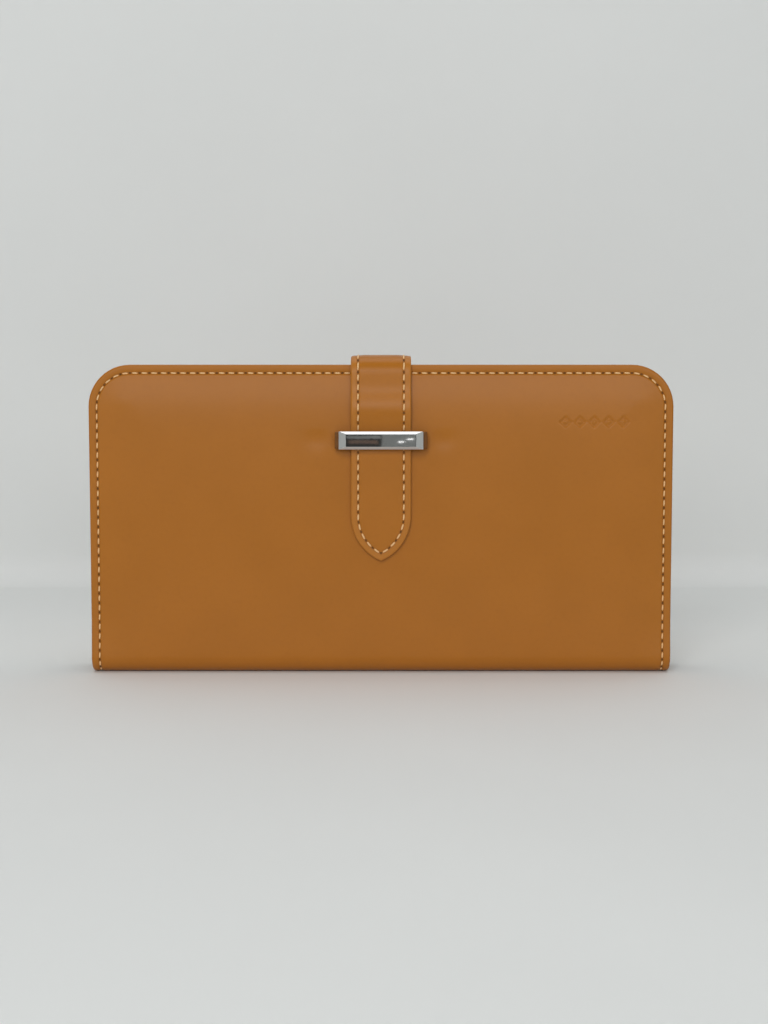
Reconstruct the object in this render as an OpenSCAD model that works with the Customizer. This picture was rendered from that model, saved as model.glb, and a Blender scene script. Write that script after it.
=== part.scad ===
// Long bifold wallet with a strap that passes over the top edge and tucks
// under a metal-faced keeper loop.
// Frame: X runs along the wallet, -Y is the front cover, +Z is up.
// The wallet stands closed on its spine, and the origin is the middle of the
// flat underside of the spine. All sizes are in millimetres.

/* [Wallet] */
// Length of the covers along the spine
wallet_w = 195; // [188:1:202]
// Height of the closed wallet without the strap
wallet_h = 103.5; // [100:0.5:108]
// Thickness of the closed wallet without the strap
wallet_t = 22; // [22:0.5:24]
// Radius of the covers' top corners
corner_r = 14; // [12:1:16]
// Outer radius of the fold between a cover and the spine
fold_r = 6; // [5:0.5:7]

/* [Layers] */
// Outer leather
leather_t = 1.2; // [1.1:0.1:1.3]
// Foam padding under the outer leather
padding_t = 0.8; // [0.6:0.1:0.8]
// Stiffener board
board_t = 0.8; // [0.6:0.1:0.8]
// Fabric lining
lining_t = 0.3; // [0.2:0.05:0.3]
// Clear depth of a bill compartment or card slot
slot_gap = 0.8; // [0.76:0.01:0.85]
// Leather of the inner panels
panel_t = 0.6; // [0.5:0.1:0.6]
// Leather of one card pocket
pocket_t = 0.5; // [0.4:0.1:0.5]

/* [Card pockets] */
// Height of the first pocket mouth
first_mouth = 18; // [16:1:20]
// Step from one pocket mouth to the next
mouth_step = 10; // [8:1:11]

/* [Coin pocket] */
// Clear depth of the coin pocket
coin_gap = 4.2; // [4.1:0.1:4.3]
// Height of the middle of the zip
zip_z = 87.5; // [85:0.5:89]
// Height of the slot that the zip sits in
zip_slot_h = 9; // [8.5:0.5:9.5]
// Distance between the two tapes, which is the mouth of the pocket
zip_mouth = 4.2; // [4.1:0.1:4.5]
// Half the length of the zip tapes
zip_half = 84; // [80:1:85]

/* [Strap] */
// Width of the strap
strap_w = 20; // [17:1:22]
// Outer leather of the strap
strap_leather_t = 1; // [0.9:0.1:1.1]
// Backing leather of the strap
strap_backing_t = 0.8; // [0.7:0.1:0.9]
// Height of the point of the strap
strap_tip_z = 38; // [34:0.5:42]
// Length of the pointed end
strap_point = 15; // [13:1:16]
// Height of the sewn end on the back cover
strap_root_z = 58; // [52:1:64]
// How far the strap stands off the covers at the top edge
strap_stand = 1.5; // [1.4:0.1:1.8]

/* [Keeper] */
// Length of the metal bar
bar_l = 28; // [27:0.5:30]
// Width of the metal bar
bar_w = 6; // [5.5:0.5:7]
// Thickness of the metal bar
bar_t = 2; // [1.6:0.2:2.4]
// Height of the middle of the keeper
keeper_z = 78.5; // [72:0.5:80]
// Leather of the keeper loop
loop_t = 1; // [0.9:0.1:1.1]

/* [Stitching] */
// Distance from one stitch to the next
stitch_pitch = 3.2; // [3:0.1:3.6]
// Thread diameter
thread_d = 0.45; // [0.4:0.01:0.48]
// Distance of the cover seam from the edge
seam_inset = 2.8; // [2.6:0.1:3.2]
// Distance of the strap seam from the edge
strap_seam = 2.4; // [2.2:0.1:2.8]

/* [Hidden] */
$fn = 64;
eps = 0.01;

leather_colour = [0.64, 0.40, 0.16];
edge_colour = [0.50, 0.31, 0.13];
thread_colour = [0.90, 0.74, 0.50];
lining_colour = [0.42, 0.28, 0.15];
board_colour = [0.62, 0.55, 0.45];
foam_colour = [0.88, 0.86, 0.80];
metal_colour = [0.78, 0.78, 0.77];

FRONT = -1;
BACK = 1;
CARD_ROWS = 3;
half_t = wallet_t / 2;

// The covers stop just above the fold, so that they clear the spine as they open.
fold_gap = 0.4;
leaf_foot = fold_r + fold_gap;
panel_foot = leaf_foot + 1.6;
trim_inset = 0.5;
panel_inset = 0.8;
edge_band = 4.2;
groove_w = 0.8;
groove_d = 0.5;
thread_depth = groove_d - thread_d / 2 - eps;

// Depths below the outer face of a half, shared by both halves
padding_d = leather_t;
board_d = padding_d + padding_t;
lining_d = board_d + board_t;
bill_d = lining_d + lining_t;
panel_d = bill_d + slot_gap;
inner_d = panel_d + panel_t;
// Depth of the back face of card pocket k, with k from 1
function pocket_d(k) = inner_d + k * slot_gap + (k - 1) * pocket_t;
function mouth_z(k) = first_mouth + (k - 1) * mouth_step;

tape_t = 0.4;
tape_d = inner_d + coin_gap;
front_wall_d = tape_d + tape_t;
front_wall_t = 0.7;
zip_d = tape_d + tape_t / 2;
slot_low = zip_z - zip_slot_h / 2;
slot_high = zip_z + zip_slot_h / 2;
tape_lap = 3;
tab_x = 80;

teeth_start = -78;
teeth_pitch = 2.2;
tooth_w = 1;
tooth_t = 1.4;
tooth_lap = 0.3;
slider_x = 75;
slider_l = 9;
slider_w = 7;
plate_t = 0.8;
slider_half_t = 1.8;
teeth_end = slider_x - slider_l / 2 - 0.5;
arch_half_l = 0.45;
arch_hole_half = 0.95;
arch_leg = 0.75;
arch_hole_h = 1.3;
arch_top_t = 0.6;
pull_d = zip_d + slider_half_t + 0.2;
pull_t = 0.9;
pull_bar = 0.45;
pull_l = 21;
pull_w = 6;

// Strap: the inner face runs up the back cover, over the top edge and down the front.
strap_t = strap_leather_t + strap_backing_t;
strap_bend = 4.6;
strap_rise = 1.5;
strap_leave_z = 85;
tongue_gap = 0.1;
bend_y = half_t + strap_stand - strap_bend;
bend_z = wallet_h + strap_rise - strap_bend;
point_start = strap_tip_z + strap_point;
point_r = (pow(strap_w / 2, 2) + pow(strap_point, 2)) / strap_w;

// Keeper
loop_gap = 0.3;
loop_w = bar_w - 0.5;
loop_inner_y = half_t + tongue_gap + strap_t + loop_gap;
loop_half = bar_l / 2 + 1.3;
foot_l = 7;
washer_x = 12.2;
post_r = 0.8;
washer_r = 1.6;
washer_t = 0.7;

// ---- Outlines and helpers ----

// Outline of a half in X and Z: square foot, rounded top corners.
module leaf_outline(inset = 0, foot = leaf_foot) {
    half = wallet_w / 2 - inset;
    top = wallet_h - inset;
    r = corner_r - inset;
    translate([-half, foot]) square([2 * half, top - r - foot]);
    translate([-(half - r), foot]) square([2 * (half - r), top - foot]);
    for (side = [-1, 1])
        translate([side * (half - r), top - r]) circle(r);
}

// Extrudes an outline in X and Z between two depths below a half's outer face.
module layer(side, depth, thickness) {
    start = side == FRONT ? -half_t + depth + thickness : half_t - depth;
    translate([0, start, 0]) rotate([90, 0, 0]) linear_extrude(thickness) children();
}

// A band along three edges, open towards the fold.
module edge_band_outline(foot) {
    difference() {
        leaf_outline(panel_inset, foot);
        leaf_outline(panel_inset + edge_band, foot - 1);
    }
}

module seam_ring() {
    difference() {
        leaf_outline(seam_inset - groove_w / 2, leaf_foot - 1);
        leaf_outline(seam_inset + groove_w / 2, leaf_foot - 2);
    }
}

// Place along the cover seam at distance s from its lower left end: [x, z, angle].
seam_half = wallet_w / 2 - seam_inset;
seam_r = corner_r - seam_inset;
seam_side = wallet_h - corner_r - leaf_foot;
seam_arc = seam_r * PI / 2;
seam_top = 2 * (seam_half - seam_r);
seam_length = 2 * seam_side + 2 * seam_arc + seam_top;
function seam_place(s) =
    s < seam_side ? [-seam_half, leaf_foot + s, 90]
    : s < seam_side + seam_arc
        ? let (a = (s - seam_side) / seam_arc * 90)
          [-seam_half + seam_r * (1 - cos(a)), wallet_h - corner_r + seam_r * sin(a), 90 - a]
    : s < seam_side + seam_arc + seam_top / 2 + eps
        ? [-seam_half + seam_r + (s - seam_side - seam_arc), wallet_h - seam_inset, 0]
    : let (m = seam_place(seam_length - s)) [-m[0], m[1], -m[2]];

// One stitch lying along X.
module stitch(length = stitch_pitch * 0.72) {
    rotate([0, 90, 0]) cylinder(d = thread_d, h = length, center = true, $fn = 16);
}

module cover_thread(side) {
    count = floor(seam_length / stitch_pitch);
    step = seam_length / count;
    y = side * (half_t - thread_depth);
    for (i = [0 : count - 1]) {
        p = seam_place((i + 0.5) * step);
        translate([p[0], y, p[1]]) rotate([0, -p[2], 0]) stitch();
    }
}

// ---- Front half ----

module cover_leather(side) {
    layer(side, 0, leather_t) leaf_outline();
}

module cover_groove(side) {
    layer(side, -eps, groove_d + eps) seam_ring();
}

// Places where the keeper loop passes through the leather
module loop_slits(depth, thickness) {
    for (side = [-1, 1])
        layer(FRONT, depth, thickness)
            translate([side * (loop_half - loop_t / 2), keeper_z])
                square([loop_t, loop_w], center = true);
}

module foot_outline(spare = 0) {
    for (side = [-1, 1])
        translate([side * (loop_half - loop_t + foot_l / 2), keeper_z])
            square([foot_l + 2 * spare, loop_w + 2 * spare], center = true);
}

module front_cover_leather() {
    color(leather_colour) difference() {
        cover_leather(FRONT);
        cover_groove(FRONT);
        loop_slits(-eps, leather_t + 2 * eps);
    }
}

module front_padding() {
    color(foam_colour) layer(FRONT, padding_d, padding_t) difference() {
        leaf_outline(trim_inset);
        foot_outline(0.2);
    }
}

module front_stiffener() {
    color(board_colour) layer(FRONT, board_d, board_t) leaf_outline(trim_inset);
}

module front_lining() {
    color(lining_colour) layer(FRONT, lining_d, lining_t) leaf_outline(trim_inset);
}

module front_bill_edges() {
    color(edge_colour) layer(FRONT, bill_d, slot_gap) edge_band_outline(panel_foot);
}

module front_inner_panel() {
    color(leather_colour) layer(FRONT, panel_d, panel_t) leaf_outline(panel_inset, panel_foot);
}

// One edge band behind each card pocket
module card_pocket_edges() {
    color(edge_colour)
        for (k = [1 : CARD_ROWS])
            layer(FRONT, pocket_d(k) - slot_gap, slot_gap) edge_band_outline(mouth_z(k));
}

// Card pocket k is open towards the fold, and each one is shorter than the last.
module card_pocket(k) {
    color(leather_colour)
        layer(FRONT, pocket_d(k), pocket_t) leaf_outline(panel_inset, mouth_z(k));
}

module card_divider_thread() {
    y = -half_t + pocket_d(CARD_ROWS) + pocket_t + thread_d / 2;
    low = mouth_z(CARD_ROWS) + 2;
    high = wallet_h - seam_inset - 2;
    count = floor((high - low) / stitch_pitch);
    color(thread_colour)
        for (i = [0 : count - 1])
            translate([0, y, low + (i + 0.5) * stitch_pitch]) rotate([0, 90, 0]) stitch();
}

module front_cover_thread() {
    color(thread_colour) cover_thread(FRONT);
}

// ---- Keeper ----

// The loop stands off the cover, and its feet turn out under the leather.
module keeper_loop() {
    outer_y = loop_inner_y + loop_t;
    color(edge_colour) difference() {
        union() {
            translate([-loop_half, -outer_y, keeper_z - loop_w / 2])
                cube([2 * loop_half, loop_t, loop_w]);
            for (side = [-1, 1])
                translate([side * (loop_half - loop_t / 2), -(outer_y + half_t - padding_d) / 2, keeper_z])
                    cube([loop_t, outer_y - half_t + padding_d, loop_w], center = true);
            layer(FRONT, padding_d, padding_t) foot_outline();
        }
        keeper_posts(post_r);
    }
}

module keeper_posts(r) {
    for (side = [-1, 1])
        translate([side * washer_x, -loop_inner_y + washer_t, keeper_z])
            rotate([90, 0, 0]) cylinder(r = r, h = washer_t + loop_t + eps, $fn = 32);
}

// Cross-section of the bar in Y and Z, with a bevel along both front edges
bar_bevel = 0.9;
end_bevel = 2.4;
module bar_profile() {
    back = -(loop_inner_y + loop_t);
    polygon([
        [back, -bar_w / 2], [back, bar_w / 2],
        [back - bar_t + bar_bevel, bar_w / 2], [back - bar_t, bar_w / 2 - bar_bevel],
        [back - bar_t, -bar_w / 2 + bar_bevel], [back - bar_t + bar_bevel, -bar_w / 2]
    ]);
}

// Outline of the bar in X and Y, with a long bevel at each end
module bar_plan() {
    back = -(loop_inner_y + loop_t);
    polygon([
        [-bar_l / 2, back], [bar_l / 2, back],
        [bar_l / 2, back - bar_t + bar_bevel], [bar_l / 2 - end_bevel, back - bar_t],
        [-bar_l / 2 + end_bevel, back - bar_t], [-bar_l / 2, back - bar_t + bar_bevel]
    ]);
}

module keeper_bar() {
    color(metal_colour) {
        intersection() {
            translate([-bar_l / 2, 0, keeper_z])
                rotate([90, 0, 90]) linear_extrude(bar_l) bar_profile();
            translate([0, 0, keeper_z - bar_w / 2]) linear_extrude(bar_w) bar_plan();
        }
        keeper_posts(post_r);
    }
}

module keeper_washers() {
    color(metal_colour)
        for (side = [-1, 1])
            translate([side * washer_x, -loop_inner_y + washer_t, keeper_z])
                rotate([90, 0, 0]) difference() {
                    cylinder(r = washer_r, h = washer_t, $fn = 32);
                    translate([0, 0, -eps]) cylinder(r = post_r, h = washer_t + 2 * eps, $fn = 32);
                }
}

// ---- Back half ----

module back_cover_leather() {
    color(leather_colour) difference() {
        cover_leather(BACK);
        cover_groove(BACK);
    }
}

module back_padding() {
    color(foam_colour) layer(BACK, padding_d, padding_t) leaf_outline(trim_inset);
}

module back_stiffener() {
    color(board_colour) layer(BACK, board_d, board_t) leaf_outline(trim_inset);
}

module back_lining() {
    color(lining_colour) layer(BACK, lining_d, lining_t) leaf_outline(trim_inset);
}

module back_bill_edges() {
    color(edge_colour) layer(BACK, bill_d, slot_gap) edge_band_outline(panel_foot);
}

module coin_pocket_back() {
    color(leather_colour) layer(BACK, panel_d, panel_t) leaf_outline(panel_inset, panel_foot);
}

module coin_pocket_gusset() {
    color(lining_colour) layer(BACK, inner_d, coin_gap) difference() {
        leaf_outline(panel_inset, panel_foot);
        leaf_outline(panel_inset + edge_band, panel_foot + edge_band);
    }
}

// The part of the coin pocket's front wall between two heights
module front_wall(low, high, from_x = 0) {
    color(leather_colour) layer(BACK, front_wall_d, front_wall_t) intersection() {
        leaf_outline(panel_inset, panel_foot);
        for (side = [-1, 1])
            translate([side > 0 ? from_x : -wallet_w, low]) square([wallet_w - from_x, high - low]);
    }
}

module coin_pocket_front() {
    front_wall(0, slot_low);
}

module coin_pocket_top_strip() {
    front_wall(slot_high, wallet_h);
}

module zip_end_tabs() {
    front_wall(slot_low, slot_high, tab_x);
}

module tape(low, high) {
    color(lining_colour)
        layer(BACK, tape_d, tape_t) translate([-zip_half, low]) square([2 * zip_half, high - low]);
}

module zip_tape_upper() {
    tape(zip_z + zip_mouth / 2, slot_high + tape_lap);
}

module zip_tape_lower() {
    tape(slot_low - tape_lap, zip_z - zip_mouth / 2);
}

// Two rows of teeth that mesh along the middle of the mouth
module zip_teeth() {
    tooth_h = zip_mouth / 2 - 0.05 + tooth_lap;
    count = floor((teeth_end - teeth_start) / teeth_pitch);
    color(metal_colour)
        for (i = [0 : count - 1], row = [-1, 1])
            translate([
                teeth_start + (i + (row > 0 ? 0.75 : 0.25)) * teeth_pitch,
                half_t - zip_d,
                zip_z + row * (tooth_h / 2 - tooth_lap)
            ])
                cube([tooth_w, tooth_t, tooth_h], center = true);
}

module back_cover_thread() {
    color(thread_colour) cover_thread(BACK);
}

// ---- Zip slider ----

// One plate of the slider: a rounded nose and a square tail
module slider_plate(depth) {
    nose = slider_w / 2;
    layer(BACK, depth, plate_t) translate([slider_x, zip_z]) {
        translate([slider_l / 2 - nose, 0]) circle(nose);
        translate([-slider_l / 2, -slider_w / 2 + 0.6]) square([slider_l - nose, slider_w - 1.2]);
    }
}

module zip_slider() {
    top_d = zip_d + slider_half_t;
    arch_h = arch_hole_h + arch_top_t;
    arch_half_w = arch_hole_half + arch_leg;
    color(metal_colour) {
        slider_plate(zip_d - slider_half_t);
        slider_plate(top_d - plate_t);
        // Web between the plates
        layer(BACK, zip_d - slider_half_t, 2 * slider_half_t)
            translate([slider_x + slider_l / 2 - 3, zip_z]) square([2.4, 1.6], center = true);
        // Arch that holds the pull
        difference() {
            layer(BACK, top_d - eps, arch_h + eps)
                translate([slider_x, zip_z])
                    square([2 * arch_half_l, 2 * arch_half_w], center = true);
            layer(BACK, top_d, arch_hole_h)
                translate([slider_x, zip_z])
                    square([2 * arch_half_l + 1, 2 * arch_hole_half], center = true);
        }
    }
}

// Flat pull that hangs from its top bar under the arch
module zip_pull() {
    window_w = 4.2;
    window_h = 2.6;
    end_r = pull_w / 2;
    color(metal_colour) layer(BACK, pull_d, pull_t) translate([slider_x, zip_z]) difference() {
        union() {
            translate([-pull_w / 2, -pull_l + end_r]) square([pull_w, pull_l - end_r + pull_bar]);
            translate([0, -pull_l + end_r]) circle(end_r);
        }
        translate([-window_w / 2, -pull_bar - window_h]) square([window_w, window_h]);
        translate([0, -pull_l + end_r]) circle(1.1);
    }
}

// ---- Spine ----

// Inside of the U that the spine leather makes, at a depth below its outer face
module spine_well(depth, top = fold_r) {
    r = fold_r - depth;
    half = half_t - depth;
    translate([-half, fold_r]) square([2 * half, top - fold_r + 1]);
    translate([-(half - r), depth]) square([2 * (half - r), r]);
    for (side = [-1, 1])
        translate([side * (half - r), fold_r]) circle(r);
}

// Channel between two depths, run along X
module channel(depth, thickness, length) {
    translate([-length / 2, 0, 0]) rotate([90, 0, 90]) linear_extrude(length)
        intersection() {
            difference() {
                spine_well(depth);
                spine_well(depth + thickness, fold_r + 1);
            }
            translate([-wallet_t, -1]) square([2 * wallet_t, fold_r + 1]);
        }
}

module spine_leather() {
    color(leather_colour) difference() {
        channel(0, leather_t, wallet_w);
        for (side = [-1, 1])
            translate([side * seam_half, 0, 0]) channel(-eps, groove_d + eps, groove_w);
    }
}

module spine_stiffener() {
    color(board_colour) channel(leather_t, board_t, wallet_w - 2 * trim_inset);
}

module spine_lining() {
    color(lining_colour) channel(leather_t + board_t, lining_t, wallet_w - 2 * trim_inset);
}

// Stitches that carry both side seams round the spine
module spine_thread() {
    flat_half = half_t - fold_r;
    path_r = fold_r - thread_depth;
    arc = fold_r * PI / 2;
    total = 2 * arc + 2 * flat_half;
    count = floor(total / stitch_pitch);
    step = total / count;
    color(thread_colour)
        for (side = [-1, 1], i = [0 : count - 1]) {
            s = (i + 0.5) * step - total / 2;
            over = max(abs(s) - flat_half, 0);
            a = over / fold_r * 180 / PI;
            y = sign(s) * (min(abs(s), flat_half) + path_r * sin(a));
            z = fold_r - path_r * cos(a);
            translate([side * seam_half, y, z]) rotate([sign(s) * a, 0, 0])
                rotate([0, 0, 90]) stitch(stitch_pitch * 0.6);
        }
}

// ---- Strap ----

function arc_points(centre, r, from, to, steps) =
    [for (i = [0 : steps]) let (a = from + (to - from) * i / steps) centre + r * [cos(a), sin(a)]];

// Inner face of the strap in Y and Z, cut into three lengths at the middle of each bend
BEND_STEPS = 6;
rear_centre = [bend_y, bend_z];
front_centre = [-bend_y, bend_z];
root_path = concat(
    [[half_t, strap_root_z], [half_t, strap_leave_z]],
    arc_points(rear_centre, strap_bend, 0, 45, BEND_STEPS)
);
bridge_path = concat(
    arc_points(rear_centre, strap_bend, 45, 90, BEND_STEPS),
    arc_points(front_centre, strap_bend, 90, 135, BEND_STEPS)
);
front_y = -half_t - tongue_gap;
tongue_path = concat(
    arc_points(front_centre, strap_bend, 135, 180, BEND_STEPS),
    [[front_y, strap_leave_z], [front_y, strap_tip_z]]
);
strap_path = concat(
    [for (i = [0 : len(root_path) - 2]) root_path[i]],
    [for (i = [0 : len(bridge_path) - 2]) bridge_path[i]],
    tongue_path
);

function unit(v) = v / norm(v);
function outward(d) = [d[1], -d[0]];
// Points of a path moved outward by a distance, square to the path; the ends of
// the three lengths share the normal of the bend they meet in.
function end_normal(path, i) =
    let (
        last = len(path) - 1,
        p = path[i],
        rear = norm(p - rear_centre),
        front = norm(p - front_centre)
    )
    abs(rear - strap_bend) < eps ? unit(p - rear_centre)
    : abs(front - strap_bend) < eps ? unit(p - front_centre)
    : outward(unit(path[min(i + 1, last)] - path[max(i - 1, 0)]));
function moved_out(path, distance) =
    [for (i = [0 : len(path) - 1]) path[i] + distance * end_normal(path, i)];
function reversed(list) = [for (i = [len(list) - 1 : -1 : 0]) list[i]];

// A strip of strap between two heights above its inner face, run along X
module strip(path, low, high, width) {
    translate([-width / 2, 0, 0]) rotate([90, 0, 90]) linear_extrude(width)
        polygon(concat(moved_out(path, low), reversed(moved_out(path, high))));
}

// Front outline of the tongue in X and Z, pointed at its foot
module tongue_outline(inset = 0) {
    half = strap_w / 2 - inset;
    r = point_r - inset;
    translate([-half, point_start]) square([2 * half, wallet_h + 10 - point_start]);
    intersection() {
        translate([-(point_r - strap_w / 2), point_start]) circle(r);
        translate([point_r - strap_w / 2, point_start]) circle(r);
        translate([-strap_w, point_start - 2 * point_r]) square([2 * strap_w, 2 * point_r]);
    }
}

// Outline of the sewn end in X and Z, with two clipped corners
module root_outline(inset = 0) {
    half = strap_w / 2 - inset;
    clip = 3;
    polygon([
        [-half + clip, strap_root_z + inset], [half - clip, strap_root_z + inset],
        [half, strap_root_z + clip + inset], [half, wallet_h + 10],
        [-half, wallet_h + 10], [-half, strap_root_z + clip + inset]
    ]);
}

// Keeps what lies inside an outline in X and Z
module cut_to_outline() {
    intersection() {
        children(0);
        translate([0, wallet_t, 0]) rotate([90, 0, 0]) linear_extrude(2 * wallet_t) children(1);
    }
}

module strap_groove(path) {
    for (side = [-1, 1])
        translate([side * (strap_w / 2 - strap_seam), 0, 0])
            strip(path, strap_t - groove_d, strap_t + 1, groove_w);
}

// Stitches down both edges of a length of strap, on the outer face
module edge_stitches(path, from, to) {
    line = moved_out(path, strap_t - thread_depth);
    steps = [for (i = [0 : len(line) - 2]) norm(line[i + 1] - line[i])];
    starts = [for (i = [0 : len(line) - 1]) sum_to(steps, i)];
    count = max(1, floor((to - from) / stitch_pitch));
    step = (to - from) / count;
    for (i = [0 : count - 1]) {
        s = from + (i + 0.5) * step;
        k = max([for (j = [0 : len(starts) - 2]) starts[j] <= s ? j : 0]);
        d = unit(line[k + 1] - line[k]);
        p = line[k] + (s - starts[k]) * d;
        for (side = [-1, 1])
            translate([side * (strap_w / 2 - strap_seam), p[0], p[1]])
                rotate([atan2(d[1], d[0]), 0, 0]) rotate([0, 0, 90]) stitch(step * 0.72);
    }
}
function sum_to(list, n, i = 0) = i >= n ? 0 : list[i] + sum_to(list, n, i + 1);
function path_length(path) =
    sum_to([for (i = [0 : len(path) - 2]) norm(path[i + 1] - path[i])], len(path) - 1);
thread_rise = strap_t - thread_depth;

module strap_root_backing() {
    color(edge_colour) cut_to_outline() {
        strip(root_path, 0, strap_backing_t, strap_w);
        root_outline();
    }
}

module strap_root_leather() {
    color(leather_colour) difference() {
        cut_to_outline() {
            strip(root_path, strap_backing_t, strap_t, strap_w);
            root_outline();
        }
        strap_groove(root_path);
    }
}

module strap_root_thread() {
    line = moved_out(root_path, thread_rise);
    color(thread_colour) {
        edge_stitches(root_path, 4, path_length(line));
        // Row across the foot of the strap
        across = strap_w - 2 * strap_seam - 2;
        count = floor(across / stitch_pitch);
        for (i = [0 : count - 1])
            translate([
                (i + 0.5) * across / count - across / 2,
                half_t + strap_t + thread_d / 2,
                strap_root_z + strap_seam
            ])
                stitch();
    }
}

module strap_bridge_backing() {
    color(edge_colour) strip(bridge_path, 0, strap_backing_t, strap_w);
}

module strap_bridge_leather() {
    color(leather_colour) difference() {
        strip(bridge_path, strap_backing_t, strap_t, strap_w);
        strap_groove(bridge_path);
    }
}

module strap_bridge_thread() {
    color(thread_colour) edge_stitches(bridge_path, 0, path_length(moved_out(bridge_path, thread_rise)));
}

module strap_tongue_backing() {
    color(edge_colour) cut_to_outline() {
        strip(tongue_path, 0, strap_backing_t, strap_w);
        tongue_outline();
    }
}

module strap_tongue_leather() {
    color(leather_colour) difference() {
        cut_to_outline() {
            strip(tongue_path, strap_backing_t, strap_t, strap_w);
            tongue_outline();
        }
        cut_to_outline() {
            strip(tongue_path, strap_t - groove_d, strap_t + 1, strap_w);
            difference() {
                tongue_outline(strap_seam - groove_w / 2);
                tongue_outline(strap_seam + groove_w / 2);
            }
        }
    }
}

// Stitches down both edges and round the point
module strap_tongue_thread() {
    line = moved_out(tongue_path, thread_rise);
    straight = path_length(line) - strap_point;
    seam_point_r = point_r - strap_seam;
    offset_x = point_r - strap_w / 2;
    sweep = acos(offset_x / seam_point_r);
    arc = seam_point_r * sweep * PI / 180;
    count = floor(arc / stitch_pitch);
    y = front_y - thread_rise;
    color(thread_colour) {
        edge_stitches(tongue_path, 0, straight);
        for (side = [-1, 1], i = [0 : count - 1]) {
            a = (i + 0.5) * sweep / count;
            translate([
                side * (seam_point_r * cos(a) - offset_x), y, point_start - seam_point_r * sin(a)
            ])
                rotate([0, -side * (90 - a), 0]) stitch(arc / count * 0.7);
        }
    }
}

// ---- Nodes ----

front_cover_leather();
front_padding();
front_stiffener();
front_lining();
front_bill_edges();
front_inner_panel();
card_pocket_edges();
card_pocket(1);  // card_pocket_1
card_pocket(2);  // card_pocket_2
card_pocket(3);  // card_pocket_3
card_divider_thread();
front_cover_thread();
keeper_loop();
keeper_bar();
keeper_washers();
back_cover_leather();
back_padding();
back_stiffener();
back_lining();
back_bill_edges();
coin_pocket_back();
coin_pocket_gusset();
coin_pocket_front();
coin_pocket_top_strip();
zip_end_tabs();
zip_tape_upper();
zip_tape_lower();
zip_teeth();
back_cover_thread();
strap_root_leather();
strap_root_backing();
strap_root_thread();
spine_leather();
spine_stiffener();
spine_lining();
spine_thread();
strap_bridge_leather();
strap_bridge_backing();
strap_bridge_thread();
strap_tongue_leather();
strap_tongue_backing();
strap_tongue_thread();
zip_slider();
zip_pull();
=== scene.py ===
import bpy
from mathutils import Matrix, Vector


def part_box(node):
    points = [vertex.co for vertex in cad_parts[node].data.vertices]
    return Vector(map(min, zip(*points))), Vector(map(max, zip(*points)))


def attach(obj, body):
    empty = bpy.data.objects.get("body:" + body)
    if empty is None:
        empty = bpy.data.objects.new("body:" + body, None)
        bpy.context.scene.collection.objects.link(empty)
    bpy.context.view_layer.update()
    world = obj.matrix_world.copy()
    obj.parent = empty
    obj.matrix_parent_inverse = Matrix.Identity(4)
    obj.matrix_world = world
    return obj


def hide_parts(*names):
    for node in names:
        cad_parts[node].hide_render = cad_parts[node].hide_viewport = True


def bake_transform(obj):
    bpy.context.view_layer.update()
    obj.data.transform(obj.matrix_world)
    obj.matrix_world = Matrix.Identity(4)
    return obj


bl_info = {
    "name": "Long Bifold Wallet",
    "version": (1, 0, 0),
    "blender": (4, 5, 0),
    "location": "View3D > Sidebar > Wallet",
    "description": "Leather covers, strap, keeper, pockets, zip and stitching of a long bifold wallet",
    "category": "Object",
}

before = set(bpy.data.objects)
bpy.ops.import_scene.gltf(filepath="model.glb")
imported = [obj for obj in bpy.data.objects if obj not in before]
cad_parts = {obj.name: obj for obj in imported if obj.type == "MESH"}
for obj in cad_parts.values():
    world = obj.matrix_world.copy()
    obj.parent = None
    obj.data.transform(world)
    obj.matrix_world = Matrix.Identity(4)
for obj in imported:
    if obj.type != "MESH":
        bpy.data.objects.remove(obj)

from math import acos, cos, floor, pi, radians, sin, sqrt

import bmesh
import bpy
import numpy as np
from bpy.props import FloatProperty, FloatVectorProperty, PointerProperty
from mathutils import Vector

MM = 0.001
FRONT, BACK = -1, 1
SIDE_NAME = {FRONT: "front", BACK: "back"}
LEAF = {FRONT: "front_leaf", BACK: "back_leaf"}
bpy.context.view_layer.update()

# Sizes that the frame gives
COVER_LOW, COVER_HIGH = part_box("front_cover_leather")
PANEL_LOW, PANEL_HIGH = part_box("front_inner_panel")
STRAP_LOW, STRAP_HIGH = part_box("strap_tongue_leather")
ROOT_LOW, ROOT_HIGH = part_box("strap_root_leather")
BAR_LOW, BAR_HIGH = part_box("keeper_bar")
LOOP_HALF_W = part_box("keeper_loop")[1].x
HALF_W = COVER_HIGH.x
HALF_T = -COVER_LOW.y
HEIGHT = COVER_HIGH.z
FOLD_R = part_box("spine_leather")[1].z
FLAT = HALF_T - FOLD_R
FOLD_ARC = FOLD_R * pi / 2
COVER_S = FLAT + FOLD_ARC + HEIGHT - FOLD_R
KEEPER_Z = (BAR_LOW.z + BAR_HIGH.z) / 2


# ---- Sizes and colours ----

def size(name, text, millimetres, low=0.0, high=None):
    """A length property in metres, given in millimetres."""
    return FloatProperty(
        name=name, description=text, default=millimetres * MM, min=low * MM,
        max=(high or 10 * max(millimetres, 1)) * MM, unit="LENGTH", subtype="DISTANCE",
    )


def colour(name, text, red, green, blue):
    """A colour property, given as linear light."""
    return FloatVectorProperty(
        name=name, description=text, default=(red, green, blue), min=0, max=1, size=3,
        subtype="COLOR",
    )


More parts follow.
